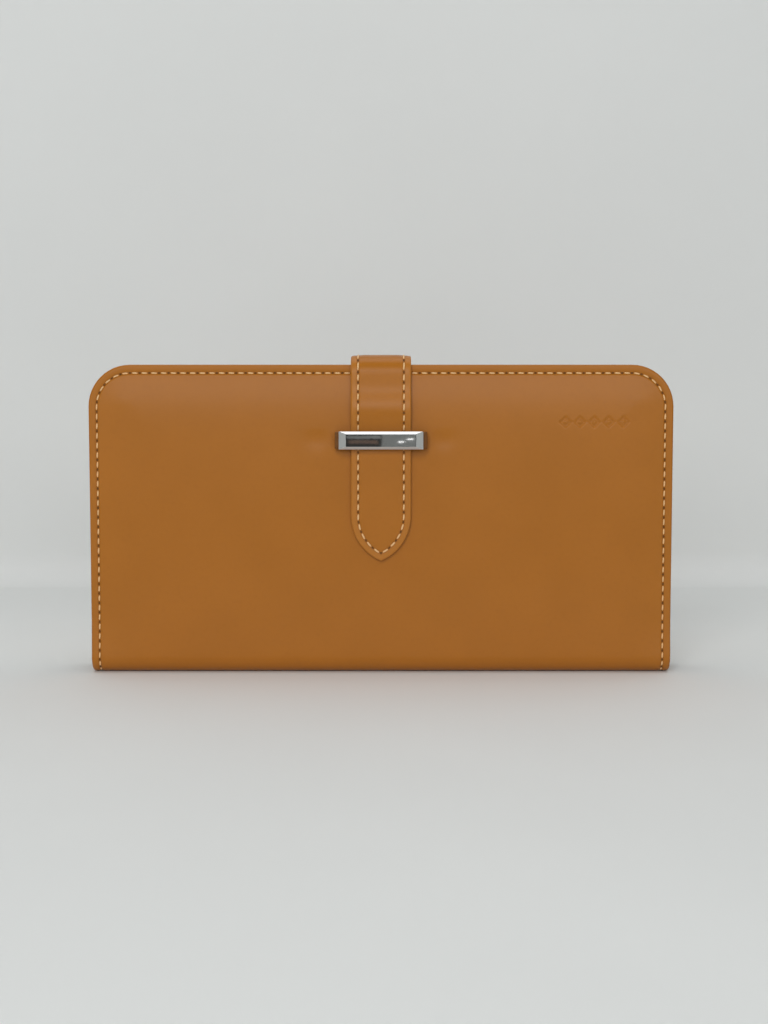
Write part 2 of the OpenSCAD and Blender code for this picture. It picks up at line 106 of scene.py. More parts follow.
class WalletCoverSizes(bpy.types.PropertyGroup):
    corner_r: size("Corner radius", "Radius of the covers' top corners", 14)
    leather_t: size("Leather", "Thickness of the cover leather", 1.2)
    core_t: size("Core", "Foam and board under the leather", 1.6)
    spine_core_t: size("Spine core", "Board under the spine leather", 0.8)
    strip_t: size("Turned edge", "Leather turned in over the board", 0.3)
    strip_w: size("Turned edge width", "How far the leather is turned in", 10)
    lining_t: size("Lining", "Thickness of the cloth lining", 0.2)
    border_drop: size("Border drop", "How much lower the border lies than the padded middle", 1.1)
    crown_w: size("Crown width", "How wide the padded middle's rounded rim is", 7.3)
    groove_d: size("Seam groove", "How deep the seam pulls the leather in", 0.3)
    seam_inset: size("Seam inset", "Distance of the seam from the edge", 2.8)
    seam_pitch: size("Stitch pitch", "Distance from one stitch to the next", 3.2)
    thread_r: size("Thread radius", "Half the thickness of the thread", 0.25)
    edge_r: size("Edge rounding", "Radius of the leather's outer edge", 0.8)


class WalletStrapSizes(bpy.types.PropertyGroup):
    seam_inset: size("Seam inset", "Distance of the strap's seam from its edge", 2.4)
    seam_pitch: size("Stitch pitch", "Distance from one stitch to the next", 3.3)
    leather_t: size("Leather", "Thickness of the outer leather", 1.0)
    backing_t: size("Backing", "Thickness of the backing leather", 0.8)
    bend_r: size("Bend", "Inner radius of the two bends", 3.5)
    bulge: size("Swell", "How far the strap swells out under its front bend", 1.0)
    lie_z: size("Lying height", "Height at which the strap starts to lie on the cover", 82)
    point: size("Point", "Length of the pointed end", 15)
    lean: size("Border lean", "How far the border outside the seam leans back", 0.3)
    edge_r: size("Edge rounding", "Radius of the leather's edge", 0.45)
    thread_r: size("Thread radius", "Half the thickness of the thread", 0.27)


class WalletPocketSizes(bpy.types.PropertyGroup):
    edge_r: size("Edge rounding", "Radius of the inner leather's edges", 0.24)
    press_inset: size("Pressed line inset", "Distance of the pressed line from the edge", 1.2)
    press_d: size("Pressed line", "Depth of the pressed line", 0.1)
    seam_pitch: size("Stitch pitch", "Distance from one stitch to the next", 3.2)
    thread_r: size("Thread radius", "Half the thickness of the thread", 0.22)


class WalletColours(bpy.types.PropertyGroup):
    leather: colour("Leather", "Smooth tan leather", 0.415, 0.141, 0.007)
    leather_edge: colour("Edge paint", "Painted leather edges", 0.30, 0.105, 0.016)
    # Painted shade: a dark colour that stands for the shade inside the needle holes.
    needle: colour("Needle holes", "Inside of the needle holes", 0.14, 0.05, 0.008)
    thread: colour("Thread", "Waxed stitching thread", 0.93, 0.59, 0.28)
    lining: colour("Lining", "Cloth lining", 0.16, 0.075, 0.028)
    tape: colour("Zip tape", "Woven zip tape", 0.11, 0.048, 0.018)
    metal: colour("Metal", "Plated metal", 0.76, 0.76, 0.75)
    foam: colour("Foam", "Foam padding", 0.72, 0.68, 0.58)
    board: colour("Board", "Stiffener board", 0.36, 0.28, 0.19)
    ground: colour("Backdrop", "Paper under and behind the wallet", 0.81, 0.825, 0.81)


class WalletStageSizes(bpy.types.PropertyGroup):
    distance: size("Camera distance", "From the camera to the middle of the wallet", 560)
    elevation: FloatProperty(
        name="Camera elevation", description="Angle of the camera above the table",
        default=radians(4.8), unit="ROTATION", subtype="ANGLE",
    )
    view_angle: FloatProperty(
        name="View angle", description="Width of the view on its longer side",
        default=radians(34.6), unit="ROTATION", subtype="ANGLE",
    )
    wall: size("Backdrop distance", "From the wallet to the upright backdrop", 214)
    cove_r: size("Cove", "Radius where the table turns up into the backdrop", 16)


GROUPS = {
    "wallet_cover": WalletCoverSizes,
    "wallet_strap": WalletStrapSizes,
    "wallet_pockets": WalletPocketSizes,
    "wallet_colours": WalletColours,
    "wallet_stage": WalletStageSizes,
}


# ---- Materials ----

def math_operator(operation):
    """One of Python's operators as a Math node."""
    return lambda value, other: value.math(operation, other)


class Value:
    """A shader value. Python's operators on it add Math nodes."""

    __add__ = __radd__ = math_operator("ADD")
    __sub__ = math_operator("SUBTRACT")
    __mul__ = __rmul__ = math_operator("MULTIPLY")
    __truediv__ = math_operator("DIVIDE")
    __pow__ = math_operator("POWER")

    def __init__(self, shader, socket):
        self.shader = shader
        self.socket = socket

    def math(self, operation, *others):
        inputs = {i: value for i, value in enumerate((self, *others))}
        return self.shader.node("ShaderNodeMath", {"operation": operation}, inputs)

    def __rsub__(self, other):
        return self.math("MULTIPLY_ADD", -1.0, other)

    def smooth(self, low, high):
        """0 below low, 1 above high and smooth between them."""
        inputs = {"Value": self, "From Min": low, "From Max": high}
        settings = {"interpolation_type": "SMOOTHSTEP"}
        return self.shader.node("ShaderNodeMapRange", settings, inputs)


class Shader:
    """One node material with a Principled shader."""

    def __init__(self, name):
        self.material = bpy.data.materials.new(name)
        self.material.use_nodes = True
        self.tree = self.material.node_tree
        self.surface = self.tree.nodes["Principled BSDF"]

    def node(self, kind, settings=None, inputs=None, output=0):
        """Adds a node, first its settings and then its sockets, and gives one of its outputs."""
        node = self.tree.nodes.new(kind)
        for name, value in (settings or {}).items():
            setattr(node, name, value)
        for name, value in (inputs or {}).items():
            self.set(node.inputs[name], value)
        return Value(self, node.outputs[output])

    def set(self, socket, value):
        if isinstance(value, Value):
            self.tree.links.new(value.socket, socket)
        elif socket.type == "RGBA":
            socket.default_value = (*tuple(value)[:3], 1)
        else:
            socket.default_value = value

    def put(self, **sockets):
        """Sets or links sockets of the Principled shader: Base_Color stands for Base Color."""
        for name, value in sockets.items():
            self.set(self.surface.inputs[name.replace("_", " ")], value)
        return self

    def attribute(self, name):
        return self.node("ShaderNodeAttribute", {"attribute_name": name}, output="Vector")

    def split(self, vector):
        tree_node = self.node("ShaderNodeSeparateXYZ", None, {0: vector}).socket.node
        return [Value(self, socket) for socket in tree_node.outputs]

    def scaled(self, vector, x, y, z):
        settings = {"operation": "MULTIPLY"}
        return self.node("ShaderNodeVectorMath", settings, {0: vector, 1: (x, y, z)})

    def noise(self, vector, cell, detail=2.0, roughness=0.5):
        """Noise from 0 to 1, with features of about one cell in metres."""
        inputs = {"Vector": vector, "Scale": 1 / cell, "Detail": detail, "Roughness": roughness}
        return self.node("ShaderNodeTexNoise", None, inputs)

    def cells(self, vector, cell, feature="F1"):
        inputs = {"Vector": vector, "Scale": 1 / cell}
        return self.node("ShaderNodeTexVoronoi", {"feature": feature}, inputs)

    def mix(self, factor, first, second):
        settings = {"data_type": "RGBA", "blend_type": "MIX"}
        node = self.node("ShaderNodeMix", settings).socket.node
        for name, value in (("Factor_Float", factor), ("A_Color", first), ("B_Color", second)):
            socket = next(s for s in node.inputs if s.identifier == name)
            self.set(socket, value)
        return Value(self, next(s for s in node.outputs if s.identifier == "Result_Color"))

    def bump(self, height, distance, strength=1.0):
        inputs = {"Height": height, "Distance": distance, "Strength": strength}
        return self.node("ShaderNodeBump", None, inputs)


def shade(tint, factor):
    """A colour made lighter or darker."""
    return tuple(min(1.0, part * factor) for part in tint)


def leather_material(name, colours, factor=1.0, pitch=3.2 * MM, border=0.0):
    """Smooth finished leather, with needle holes along its seam and painted edges; painted shade
    darkens the holes and the seam groove, and the border outside the seam gets a paler tint.
    """
    tint, edge = shade(colours.leather, factor), colours.leather_edge
    shader = Shader(name)
    place = shader.attribute("pattern")
    along, across, rim = shader.split(shader.attribute("seam"))
    cloud = shader.noise(place, 22 * MM, 3.0)
    fleck = shader.noise(place, 1.6 * MM, 2.0)
    body = shader.mix(cloud.smooth(0.3, 0.7), shade(tint, 0.975), shade(tint, 1.02))
    body = shader.mix(fleck.smooth(0.45, 0.8) * 0.22, body, shade(tint, 0.86))
    # The seam is counted in stitches, which sit at halves, so the holes are at whole numbers.
    step = (along + 0.5).math("FRACT") - 0.5
    reach = across.math("ABSOLUTE")
    hole_x = (step * (pitch / (0.46 * MM))) ** 2.0
    hole_y = (reach / (0.34 * MM)) ** 2.0
    hole = 1 - (hole_x + hole_y).smooth(0.35, 1.3)
    # The border outside the seam is painted a little paler: partly a worn finish, partly a painted
    # highlight where it leans towards the light.
    outside = 1 - across.smooth(-0.8 * MM, -0.2 * MM)
    body = shader.mix(outside * border, body, (tint[0] * 1.2, tint[1] * 1.35, tint[2] + 0.02, 1))
    # Painted shade: the leather is darkened along the seam groove, where shade falls in it.
    groove_shade = 1 - reach.smooth(0.1 * MM, 1.0 * MM)
    body = shader.mix(groove_shade * 0.22, body, shade(tint, 0.55))
    # Painted shade: the needle holes get the dark needle tint, which stands for the shade inside them.
    body = shader.mix(hole * 0.95, body, colours.needle)
    worn = shader.noise(place, 3 * MM, 2.0)
    paint = shader.mix(worn.smooth(0.3, 0.75), edge, shade(edge, 1.35))
    body = shader.mix(rim, body, paint)
    grain = shader.cells(place, 0.42 * MM, "SMOOTH_F1")
    pores = shader.noise(place, 0.16 * MM, 2.0)
    creases = shader.noise(place, 5 * MM, 4.0, 0.6)
    height = grain * 0.5 + pores * 0.35 + creases * 0.9 - hole * 9.0
    rough = 0.33 + grain * 0.05 + (cloud - 0.5) * 0.06 + rim * 0.06 + hole * 0.3
    return shader.put(
        Base_Color=body, Roughness=rough, Normal=shader.bump(height, 0.014 * MM),
        IOR=1.45,
    ).material


def thread_material(name, tint):
    """Waxed, twisted thread."""
    shader = Shader(name)
    place = shader.attribute("pattern")
    x, _, z = shader.split(place)
    ply = ((x + z * 0.9) * (2 * pi / (0.5 * MM))).math("SINE")
    fuzz = shader.noise(place, 0.2 * MM, 3.0)
    body = shader.mix(ply.smooth(-1, 1) * 0.35 + fuzz * 0.15, tint, shade(tint, 0.62))
    height = ply * 0.5 + fuzz
    return shader.put(
        Base_Color=body, Roughness=0.55, Normal=shader.bump(height, 0.03 * MM),
        Sheen_Weight=0.05,
    ).material


def cloth_material(name, tint, pitch):
    """Plain woven cloth."""
    shader = Shader(name)
    place = shader.attribute("pattern")
    x, y, _ = shader.split(place)
    warp = (x * (2 * pi / pitch)).math("SINE")
    weft = (y * (2 * pi / pitch)).math("SINE")
    weave = (warp * weft).smooth(-1, 1)
    fuzz = shader.noise(place, 0.7 * MM, 3.0)
    body = shader.mix(weave * 0.5 + fuzz * 0.3, shade(tint, 0.75), shade(tint, 1.25))
    return shader.put(
        Base_Color=body, Roughness=0.8 + fuzz * 0.1, Sheen_Weight=0.25,
        Normal=shader.bump(weave + fuzz * 0.4, 0.06 * MM),
    ).material


def metal_material(name, tint, roughness):
    """Plated, polished metal with faint haze and hairline scratches."""
    shader = Shader(name)
    place = shader.node("ShaderNodeTexCoord", output="Object")
    haze = shader.noise(place, 6 * MM, 3.0)
    hair = shader.noise(shader.scaled(place, 0.1, 1, 1), 0.12 * MM, 2.0)
    rough = roughness + haze * 0.015 + hair.smooth(0.55, 0.8) * 0.03
    body = shader.mix(haze * 0.4, tint, shade(tint, 0.92))
    return shader.put(
        Base_Color=body, Metallic=1.0, Roughness=rough,
        Normal=shader.bump(haze, 0.02 * MM, 0.12),
    ).material


def core_material(name, tint, cell):
    """Open foam or pressed board, hidden inside the covers."""
    shader = Shader(name)
    place = shader.node("ShaderNodeTexCoord", output="Object")
    pits = shader.cells(place, cell)
    fibre = shader.noise(place, 4 * cell, 4.0)
    body = shader.mix(fibre.smooth(0.3, 0.7), shade(tint, 0.85), shade(tint, 1.1))
    return shader.put(
        Base_Color=body, Roughness=0.9, Normal=shader.bump(pits + fibre, 0.1 * MM),
    ).material


def glow_material(name, strength):
    """A small bright card that glints in the metal."""
    shader = Shader(name)
    return shader.put(
        Base_Color=(0, 0, 0, 1), Emission_Color=(1, 1, 1, 1), Emission_Strength=strength,
    ).material


def paper_material(name, tint):
    """Plain matt backdrop paper."""
    shader = Shader(name)
    place = shader.node("ShaderNodeTexCoord", output="Object")
    tooth = shader.noise(place, 0.5 * MM, 3.0)
    cloud = shader.noise(place, 120 * MM, 2.0)
    body = shader.mix(cloud.smooth(0.35, 0.65), shade(tint, 0.985), tint)
    shader.put(
        Base_Color=body, Roughness=0.75, Specular_IOR_Level=0.25,
        Normal=shader.bump(tooth, 0.02 * MM),
    )
    # Seen from behind, the paper is clear, so that it hides nothing from there.
    behind = shader.node("ShaderNodeNewGeometry", output="Backfacing")
    clear = shader.node("ShaderNodeBsdfTransparent")
    front = Value(shader, shader.surface.outputs[0])
    both = shader.node("ShaderNodeMixShader", None, {0: behind, 1: front, 2: clear})
    shader.tree.links.new(both.socket, shader.tree.nodes["Material Output"].inputs["Surface"])
    return shader.material


MAKERS = {
    "cover_leather": lambda c: leather_material("tan_cover_leather", c, 1.0, seam_step()),
    # The strap's border is tinted paler: partly a worn finish, partly a painted highlight.
    "strap_leather": lambda c: leather_material("tan_strap_leather", c, 1.02, 3.3 * MM, 0.45),
    "pocket_leather": lambda c: leather_material("tan_pocket_leather", c, 0.93),
    "backing_leather": lambda c: leather_material("brown_backing_leather", c, 0.62),
    # Painted shade: the loop is the tan leather darkened to 0.4, for the shade it lies in.
    "shaded_loop_leather": lambda c: leather_material("loop_leather_painted_shade", c, 0.4),
    "thread": lambda c: thread_material("cream_thread", c.thread),
    "lining": lambda c: cloth_material("brown_lining_cloth", c.lining, 0.6 * MM),
    "tape": lambda c: cloth_material("woven_zip_tape", c.tape, 0.5 * MM),
    "chrome": lambda c: metal_material("polished_plate", c.metal, 0.018),
    "zip_metal": lambda c: metal_material("zip_plate", shade(c.metal, 0.9), 0.16),
    "foam": lambda c: core_material("padding_foam", c.foam, 0.5 * MM),
    "board": lambda c: core_material("stiffener_board", c.board, 0.3 * MM),
    "paper": lambda c: paper_material("backdrop_paper", c.ground),
    "dark_card": lambda c: paper_material("dark_card_paper", shade(c.ground, 0.05)),
    "grey_card": lambda c: paper_material("grey_card_paper", shade(c.ground, 0.36)),
    "brown_card": lambda c: paper_material("brown_card_paper", (0.20, 0.13, 0.10, 1)),
    "side_card": lambda c: paper_material("side_card_paper", shade(c.ground, 0.68)),
    "white_card": lambda c: glow_material("white_card_glow", 2.0),
}
MATERIALS = {}
NO_SEAM = (0.0, 1.0, 0.0)  # A place far from any seam
STITCH_SHARE = 0.66  # Of the pitch, the rest is the gap between two stitches


def material(key):
    """A finish by name, made when it is first used."""
    if key not in MATERIALS:
        MATERIALS[key] = MAKERS[key](bpy.context.scene.wallet_colours)
    return MATERIALS[key]


# ---- Meshes ----

def add_object(name, data):
    item = bpy.data.objects.new(name, data)
    bpy.context.scene.collection.objects.link(item)
    return item


def dress(name, mesh, finish, patterns, seams):
    """Gives a mesh its finish and its places on the pattern and by the seam; makes the object."""
    for label, values in (("pattern", patterns), ("seam", seams)):
        attribute = mesh.attributes.new(label, "FLOAT_VECTOR", "POINT")
        attribute.data.foreach_set("vector", np.array(values, np.float32).ravel())
    mesh.polygons.foreach_set("use_smooth", [True] * len(mesh.polygons))
    mesh.materials.append(material(finish))
    return add_object(name, mesh)


class Skin:
    """Points and faces of one piece, with each point's place on the flat pattern and by the seam."""

    def __init__(self):
        self.points, self.faces, self.patterns, self.seams = [], [], [], []

    def row(self, points, patterns, seams=None):
        """Adds points and gives their numbers."""
        start = len(self.points)
        self.points.extend(points)
        self.patterns.extend(patterns)
        self.seams.extend(seams or [NO_SEAM] * len(points))
        return list(range(start, len(self.points)))

    def join(self, first, second, closed=False):
        """Faces between two rows; a row of one point makes a fan."""
        if len(second) == 1:
            second = second * len(first)
        count = len(first)
        for i in range(count if closed else count - 1):
            j = (i + 1) % count
            face = []
            for corner in (first[i], first[j], second[j], second[i]):
                if corner not in face:
                    face.append(corner)
            if len(face) > 2:
                self.faces.append(face)

    def build(self, name, finish, slot, nodes=(), body=None, bend=None):
        """Makes the object, gives it its finish and fixes it to the frame."""
        mesh = bpy.data.meshes.new(name)
        mesh.from_pydata([tuple(p) for p in self.points], [], self.faces)
        mesh.validate()
        fill = bmesh.new()
        fill.from_mesh(mesh)
        bmesh.ops.recalc_face_normals(fill, faces=fill.faces)
        fill.to_mesh(mesh)
        fill.free()
        piece = dress(name, mesh, finish, self.patterns, self.seams)
        return fix(piece, nodes, body, bend)


def fix(piece, nodes=(), body=None, bend=None):
    """Hides the CAD nodes that a piece stands for and fixes it to the body it moves with, or, for a
    bend, bakes its placement into its mesh.
    """
    if nodes:
        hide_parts(*nodes)
    if bend:
        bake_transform(piece)
    else:
        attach(piece, body)
    return piece


def smoothstep(value, low=0.0, high=1.0):
    t = min(1.0, max(0.0, (value - low) / (high - low)))
    return t * t * (3 - 2 * t)


def rounding(inset, radius):
    """Depth of a rounded edge at a distance from it."""
    return radius - sqrt(radius ** 2 - (radius - inset) ** 2) if inset < radius else 0.0


def steps(low, high, step, bands=()):
    """Places from low to high about one step apart, closer together in bands (low, high, step)."""
    stops = sorted({low, high, *(p for band in bands for p in band[:2] if low < p < high)})
    places = [low]
    for a, b in zip(stops, stops[1:]):
        middle = (a + b) / 2
        fine = [band[2] for band in bands if band[0] <= middle <= band[1]]
        count = max(1, round((b - a) / min([step, *fine])))
        places += [a + (b - a) * i / count for i in range(1, count + 1)]
    return places


def fractions(places):
    return [(p - places[0]) / (places[-1] - places[0]) for p in places]


class Outline:
    """A straight foot, two sides and round top corners, with the same points at any inset."""

    def __init__(self, half_w, foot, top, radius, sides, columns, arc_steps=8, foot_inset=False):
        self.half_w, self.foot, self.top, self.radius = half_w, foot, top, radius
        self.sides, self.columns = fractions(sides), fractions(columns)
        self.arc_steps, self.foot_inset = arc_steps, foot_inset

    def left(self, inset):
        """Points (x, s) up the left side and round its corner."""
        w, r = self.half_w - inset, max(self.radius - inset, 0.05 * MM)
        foot = self.foot + (inset if self.foot_inset else 0)
        high = self.top - inset - r
        points = [(-w, foot + (high - foot) * f) for f in self.sides]
        for i in range(1, self.arc_steps + 1):
            a = pi / 2 * i / self.arc_steps
            points.append((-w + r * (1 - cos(a)), high + r * sin(a)))
        return points

    def loop(self, inset):
        """Points up the left side, along the top and down the right side."""
        left = self.left(inset)
        x, s = left[-1]
        top = [(x - 2 * x * f, s) for f in self.columns[1:-1]]
        return left + top + [(-x, s) for x, s in reversed(left)]

    def ring(self, inset):
        """The loop, closed along the foot where the foot is inset too."""
        loop = self.loop(inset)
        if not self.foot_inset:
            return loop
        x, s = loop[-1]
        return loop + [(x - 2 * x * f, s) for f in self.columns[1:-1]]

    def rows(self, inset):
        """Rows of points between the left and right sides, without the last, which is the top."""
        return [[(x - 2 * x * f, s) for f in self.columns] for x, s in self.left(inset)[:-1]]

    def corner_number(self):
        return len(self.sides) + self.arc_steps - 1


class PointedOutline(Outline):
    """A strip that ends in a point drawn with two arcs."""

    def left(self, inset):
        w = self.half_w - inset
        arc_r = (self.half_w ** 2 + self.radius ** 2) / (2 * self.half_w)
        offset = arc_r - self.half_w
        high = self.top - self.radius
        points = [(-w, self.foot + (high - self.foot) * f) for f in self.sides]
        r = arc_r - inset
        sweep = acos(offset / r)
        for i in range(1, self.arc_steps + 1):
            a = sweep * i / self.arc_steps
            points.append((offset - r * cos(a), high + r * sin(a)))
        points[-1] = (0.0, points[-1][1])
        return points

    def loop(self, inset):
        left = self.left(inset)
        return left + [(-x, s) for x, s in reversed(left[:-1])]


def lengths(points):
    """Distance along a line of points up to each of them."""
    total, result = 0.0, [0.0]
    for a, b in zip(points, points[1:]):
        total += sqrt(sum((q - p) ** 2 for p, q in zip(a, b)))
        result.append(total)
    return result


def slab(outline, place, face, edge, relief, seam_inset=-1 * MM, pitch=3.2 * MM):
    """Skin of a sheet: its face drawn by relief, its edge and back given as (inset, height).

    place turns (x, s, height) into a point. face lists insets from the middle outwards.
    """
    skin = Skin()
    along = [far / pitch for far in lengths(outline.ring(seam_inset))]
    spots = [(inset, None) for inset in face] + list(edge)

    def add(points, inset, height, marks=None):
        if height is None:
            flat = [(x, s, relief(x, s, inset)) for x, s in points]
        else:
            flat = [(x, s, height(s) if callable(height) else height) for x, s in points]
        return skin.row([place(*p) for p in flat], flat, marks)

    rings = []
    for inset, height in spots:
        rim = float(height is not None and inset < 1.2 * MM)
        gap = inset - seam_inset if height is None else 1.0
        rings.append(add(outline.ring(inset), inset, height, [(u, gap, rim) for u in along]))
    for a, b in zip(rings, rings[1:]):
        skin.join(a, b, closed=outline.foot_inset)
    corner, count = outline.corner_number(), len(outline.loop(face[0]))
    ends = []
    for ring, (inset, height) in ((rings[0], spots[0]), (rings[-1], spots[-1])):
        rows = []
        for j, row in enumerate(outline.rows(inset)):
            if j == 0 and outline.foot_inset:
                middle = ring[count:][::-1]
            else:
                middle = add(row[1:-1], inset, height)
            rows.append([ring[j], *middle, ring[count - 1 - j]])
        rows.append(ring[corner:count - corner])
        for a, b in zip(rows, rows[1:]):
            skin.join(a, b)
        ends.append(rows[0])
    if not outline.foot_inset:
        cut = ends[0][1:-1] + [ring[count - 1] for ring in rings] + ends[1][-2:0:-1]
        skin.faces.append(cut + [ring[0] for ring in rings][::-1])
    return skin


def cover_place(side):
    """Turns pattern coordinates into a point: s runs from the spine's middle up the cover."""

    def place(x, s, height):
        if s <= FLAT:
            y, z = s, -height
        elif s <= FLAT + FOLD_ARC:
            a = (s - FLAT) / FOLD_R
            y = FLAT + (FOLD_R + height) * sin(a)
            z = FOLD_R - (FOLD_R + height) * cos(a)
        else:
            y, z = HALF_T + height, FOLD_R + s - FLAT - FOLD_ARC
        return (x, side * y, z)

    return place


def leaf_place(side):
    """Turns (x, z, height) into a point, with height measured outward from the middle plane."""
    return lambda x, z, height: (x, side * height, z)


def fold_bend(side):
    """The bend between the spine and one leaf."""
    return ("spine", LEAF[side], (0, side * FLAT, 0), (0, side * HALF_T, FOLD_R))


def stitch(skin, line, radius, start, length, stations=7, sides=8):
    """One stitch along a line: thick in the middle, with both ends pulled down into their holes.

    line gives (point, along, normal) at a distance.
    """
    rows = []
    facet = MM / 9  # Width of one side on the pattern
    for i in range(stations):
        t = 2 * i / (stations - 1) - 1
        point, tangent, normal = line(start + length * t / 2)
        across = tangent.cross(normal).normalized()
        thick = radius * sqrt(max(0.0, 1 - (abs(t) * 0.97) ** 4))
        centre = point + normal * (radius * (0.45 - 1.1 * t ** 4)) + across * (0.22 * radius * t)
        ring, spread = [], []
        for k in range(sides):
            a = 2 * pi * k / sides
            ring.append(centre + (across * cos(a) * 1.08 + normal * sin(a) * 0.92) * thick)
            spread.append((start + length * t / 2, k * facet, 0.0))
        rows.append(skin.row(ring, spread))
    for a, b in zip(rows, rows[1:]):
        skin.join(a, b, closed=True)
    skin.faces.append(list(reversed(rows[0])))
    skin.faces.append(list(rows[-1]))


def stitches(skin, line, length, radius, pitch):
    """A whole number of stitches along a line, as near to the pitch as fits."""
    count = max(1, round(length / pitch))
    pitch = length / count
    for i in range(count):
        stitch(skin, line, radius, (i + 0.5) * pitch, pitch * STITCH_SHARE)


def pattern_line(points, place, height):
    """A line through pattern points as a function of distance, with its direction and normal."""
    far = lengths(points)

    def at(distance):
        distance = min(max(distance, 0.0), far[-1])
        i = int(np.searchsorted(far, distance, "right")) - 1
        i = min(max(i, 0), len(points) - 2)
        t = (distance - far[i]) / (far[i + 1] - far[i])
        return [points[i][k] + (points[i + 1][k] - points[i][k]) * t for k in (0, 1)]

    def line(distance):
        (x0, s0), (x1, s1) = at(distance - 0.1 * MM), at(distance + 0.1 * MM)
        x, s = at(distance)
        base = height(x, s)
        point = Vector(place(x, s, base))
        tangent = (Vector(place(x1, s1, base)) - Vector(place(x0, s0, base))).normalized()
        normal = (Vector(place(x, s, base + 0.1 * MM)) - point).normalized()
        return point, tangent, normal

    return line, far[-1]


# ---- Covers ----

ORNAMENT_X = (59 * MM, 83 * MM)
ORNAMENT_Z = HEIGHT - 19 * MM
LOZENGES = 5
LOZENGE = 2.3 * MM  # Half the height of one
LOZENGE_D = 0.3 * MM
# Where rows of points lie inside the cover's edge, in millimetres
FACE_INSETS = [11, 9.6, 8.4, 7.3, 6.3, 5.4, 4.7, 4.1, 3.7, 3.4, 3.15, 2.95, 2.8, 2.65, 2.45, 2.2,
               1.8, 1.3, 0.9, 0.65, 0.4, 0.2, 0.07, 0]


def seam_points(foot=0, top=COVER_S, step=1.0 * MM, arc_steps=24):
    """Points along the covers' seam, from its foot round and back to it, on the flat pattern."""
    sizes = bpy.context.scene.wallet_cover
    outline = Outline(HALF_W, foot, top, sizes.corner_r, steps(foot, top, step),
                      steps(-HALF_W, HALF_W, step), arc_steps)
    return outline.loop(sizes.seam_inset)


def seam_step():
    """Stitch pitch that fits a whole number of stitches along half of the seam."""
    length = lengths(seam_points())[-1]
    return length / round(length / bpy.context.scene.wallet_cover.seam_pitch)


def padding_fade(s):
    """0 on the spine and in the fold, 1 on the padded part of a cover."""
    return smoothstep(s, FLAT + 3 * MM, FLAT + FOLD_ARC + 12 * MM)


def core_depth(s):
    """Depth of the board's inner face under the leather's outer face."""
    sizes = bpy.context.scene.wallet_cover
    share = smoothstep(s, FLAT, FLAT + FOLD_ARC)
    return sizes.leather_t + sizes.spine_core_t + (sizes.core_t - sizes.spine_core_t) * share


def ornament(x, s):
    """Depth of a row of pressed lozenges."""
    z = FOLD_R + s - FLAT - FOLD_ARC - ORNAMENT_Z
    if abs(z) > LOZENGE + 1 * MM or not ORNAMENT_X[0] - 1 * MM < x < ORNAMENT_X[1] + 1 * MM:
        return 0.0
    pitch = (ORNAMENT_X[1] - ORNAMENT_X[0]) / LOZENGES
    number = min(LOZENGES - 1, max(0, floor((x - ORNAMENT_X[0]) / pitch)))
    middle = ORNAMENT_X[0] + pitch * (number + 0.5)
    reach = abs(x - middle) / (pitch * 0.5) + abs(z) / LOZENGE
    outer_wall = 1 - smoothstep(reach, 0.72, 0.98)
    island = 1 - smoothstep(reach, 0.22, 0.46)
    return LOZENGE_D * (outer_wall - 0.85 * island)


def cover_relief(side, sizes):
    """Height of the leather's outer face."""

    def height(x, s, inset):
        fade = padding_fade(s)
        if inset >= FACE_INSETS[0] * MM:
            inset = max(inset, min(HALF_W - abs(x), COVER_S - s))
        inner = max(0.0, inset - sizes.seam_inset - 0.35 * MM)
        drop = sizes.border_drop * fade * np.exp(-(inner / sizes.crown_w) ** 1.5)
        groove = sizes.groove_d * np.exp(-((inset - sizes.seam_inset) / (0.42 * MM)) ** 2)
        lip = rounding(inset, sizes.edge_r)
        pressed = ornament(x, s) if side == FRONT else 0.0
        swell = 0.035 * MM * sin(x * 61 + 0.7) * sin(s * 83 + side)
        dimple = 0.0
        if side == FRONT:
            z = FOLD_R + s - FLAT - FOLD_ARC
            reach = sqrt((abs(x) - LOOP_HALF_W) ** 2 + (z - KEEPER_Z) ** 2)
            dimple = 0.28 * MM * (1 - smoothstep(reach, 0.8 * MM, 4.5 * MM))
        return -float(drop + groove + lip + pressed + dimple) + swell * fade

    return height


def cover_outline(radius):
    """The cover's outline, with more points at the fold, the ornament and the strap."""
    fold = (FLAT - 1 * MM, FLAT + FOLD_ARC + 4 * MM, 0.8 * MM)
    # The columns are drawn together where the face is inset.
    spread = HALF_W / (HALF_W - FACE_INSETS[0] * MM)
    mark = ((ORNAMENT_X[0] - 1 * MM) * spread, (ORNAMENT_X[1] + 1 * MM) * spread, 0.3 * MM)
    mark_s = COVER_S - HEIGHT + ORNAMENT_Z
    rows = steps(0, COVER_S - radius, 2.2 * MM,
                 [fold, (mark_s - 3 * MM, mark_s + 3 * MM, 0.3 * MM),
                  (mark_s - 9 * MM, mark_s - 3 * MM, 1 * MM)])
    return Outline(HALF_W, 0, COVER_S, radius, rows,
                   steps(-HALF_W, HALF_W, 2.4 * MM, [mark, (-18 * MM, 18 * MM, 1 * MM)]), 12)


def wrap(skin, side, piece, node, finish, slot):
    """Builds a piece that covers one side and half of the spine; the front's stands for both."""
    name = SIDE_NAME[side]
    nodes = [f"{name}_{node}"]
    if side == FRONT:
        nodes.append("spine_" + node.split("_")[-1])
    return skin.build(f"{name}_{piece}", finish, slot, nodes, bend=fold_bend(side))


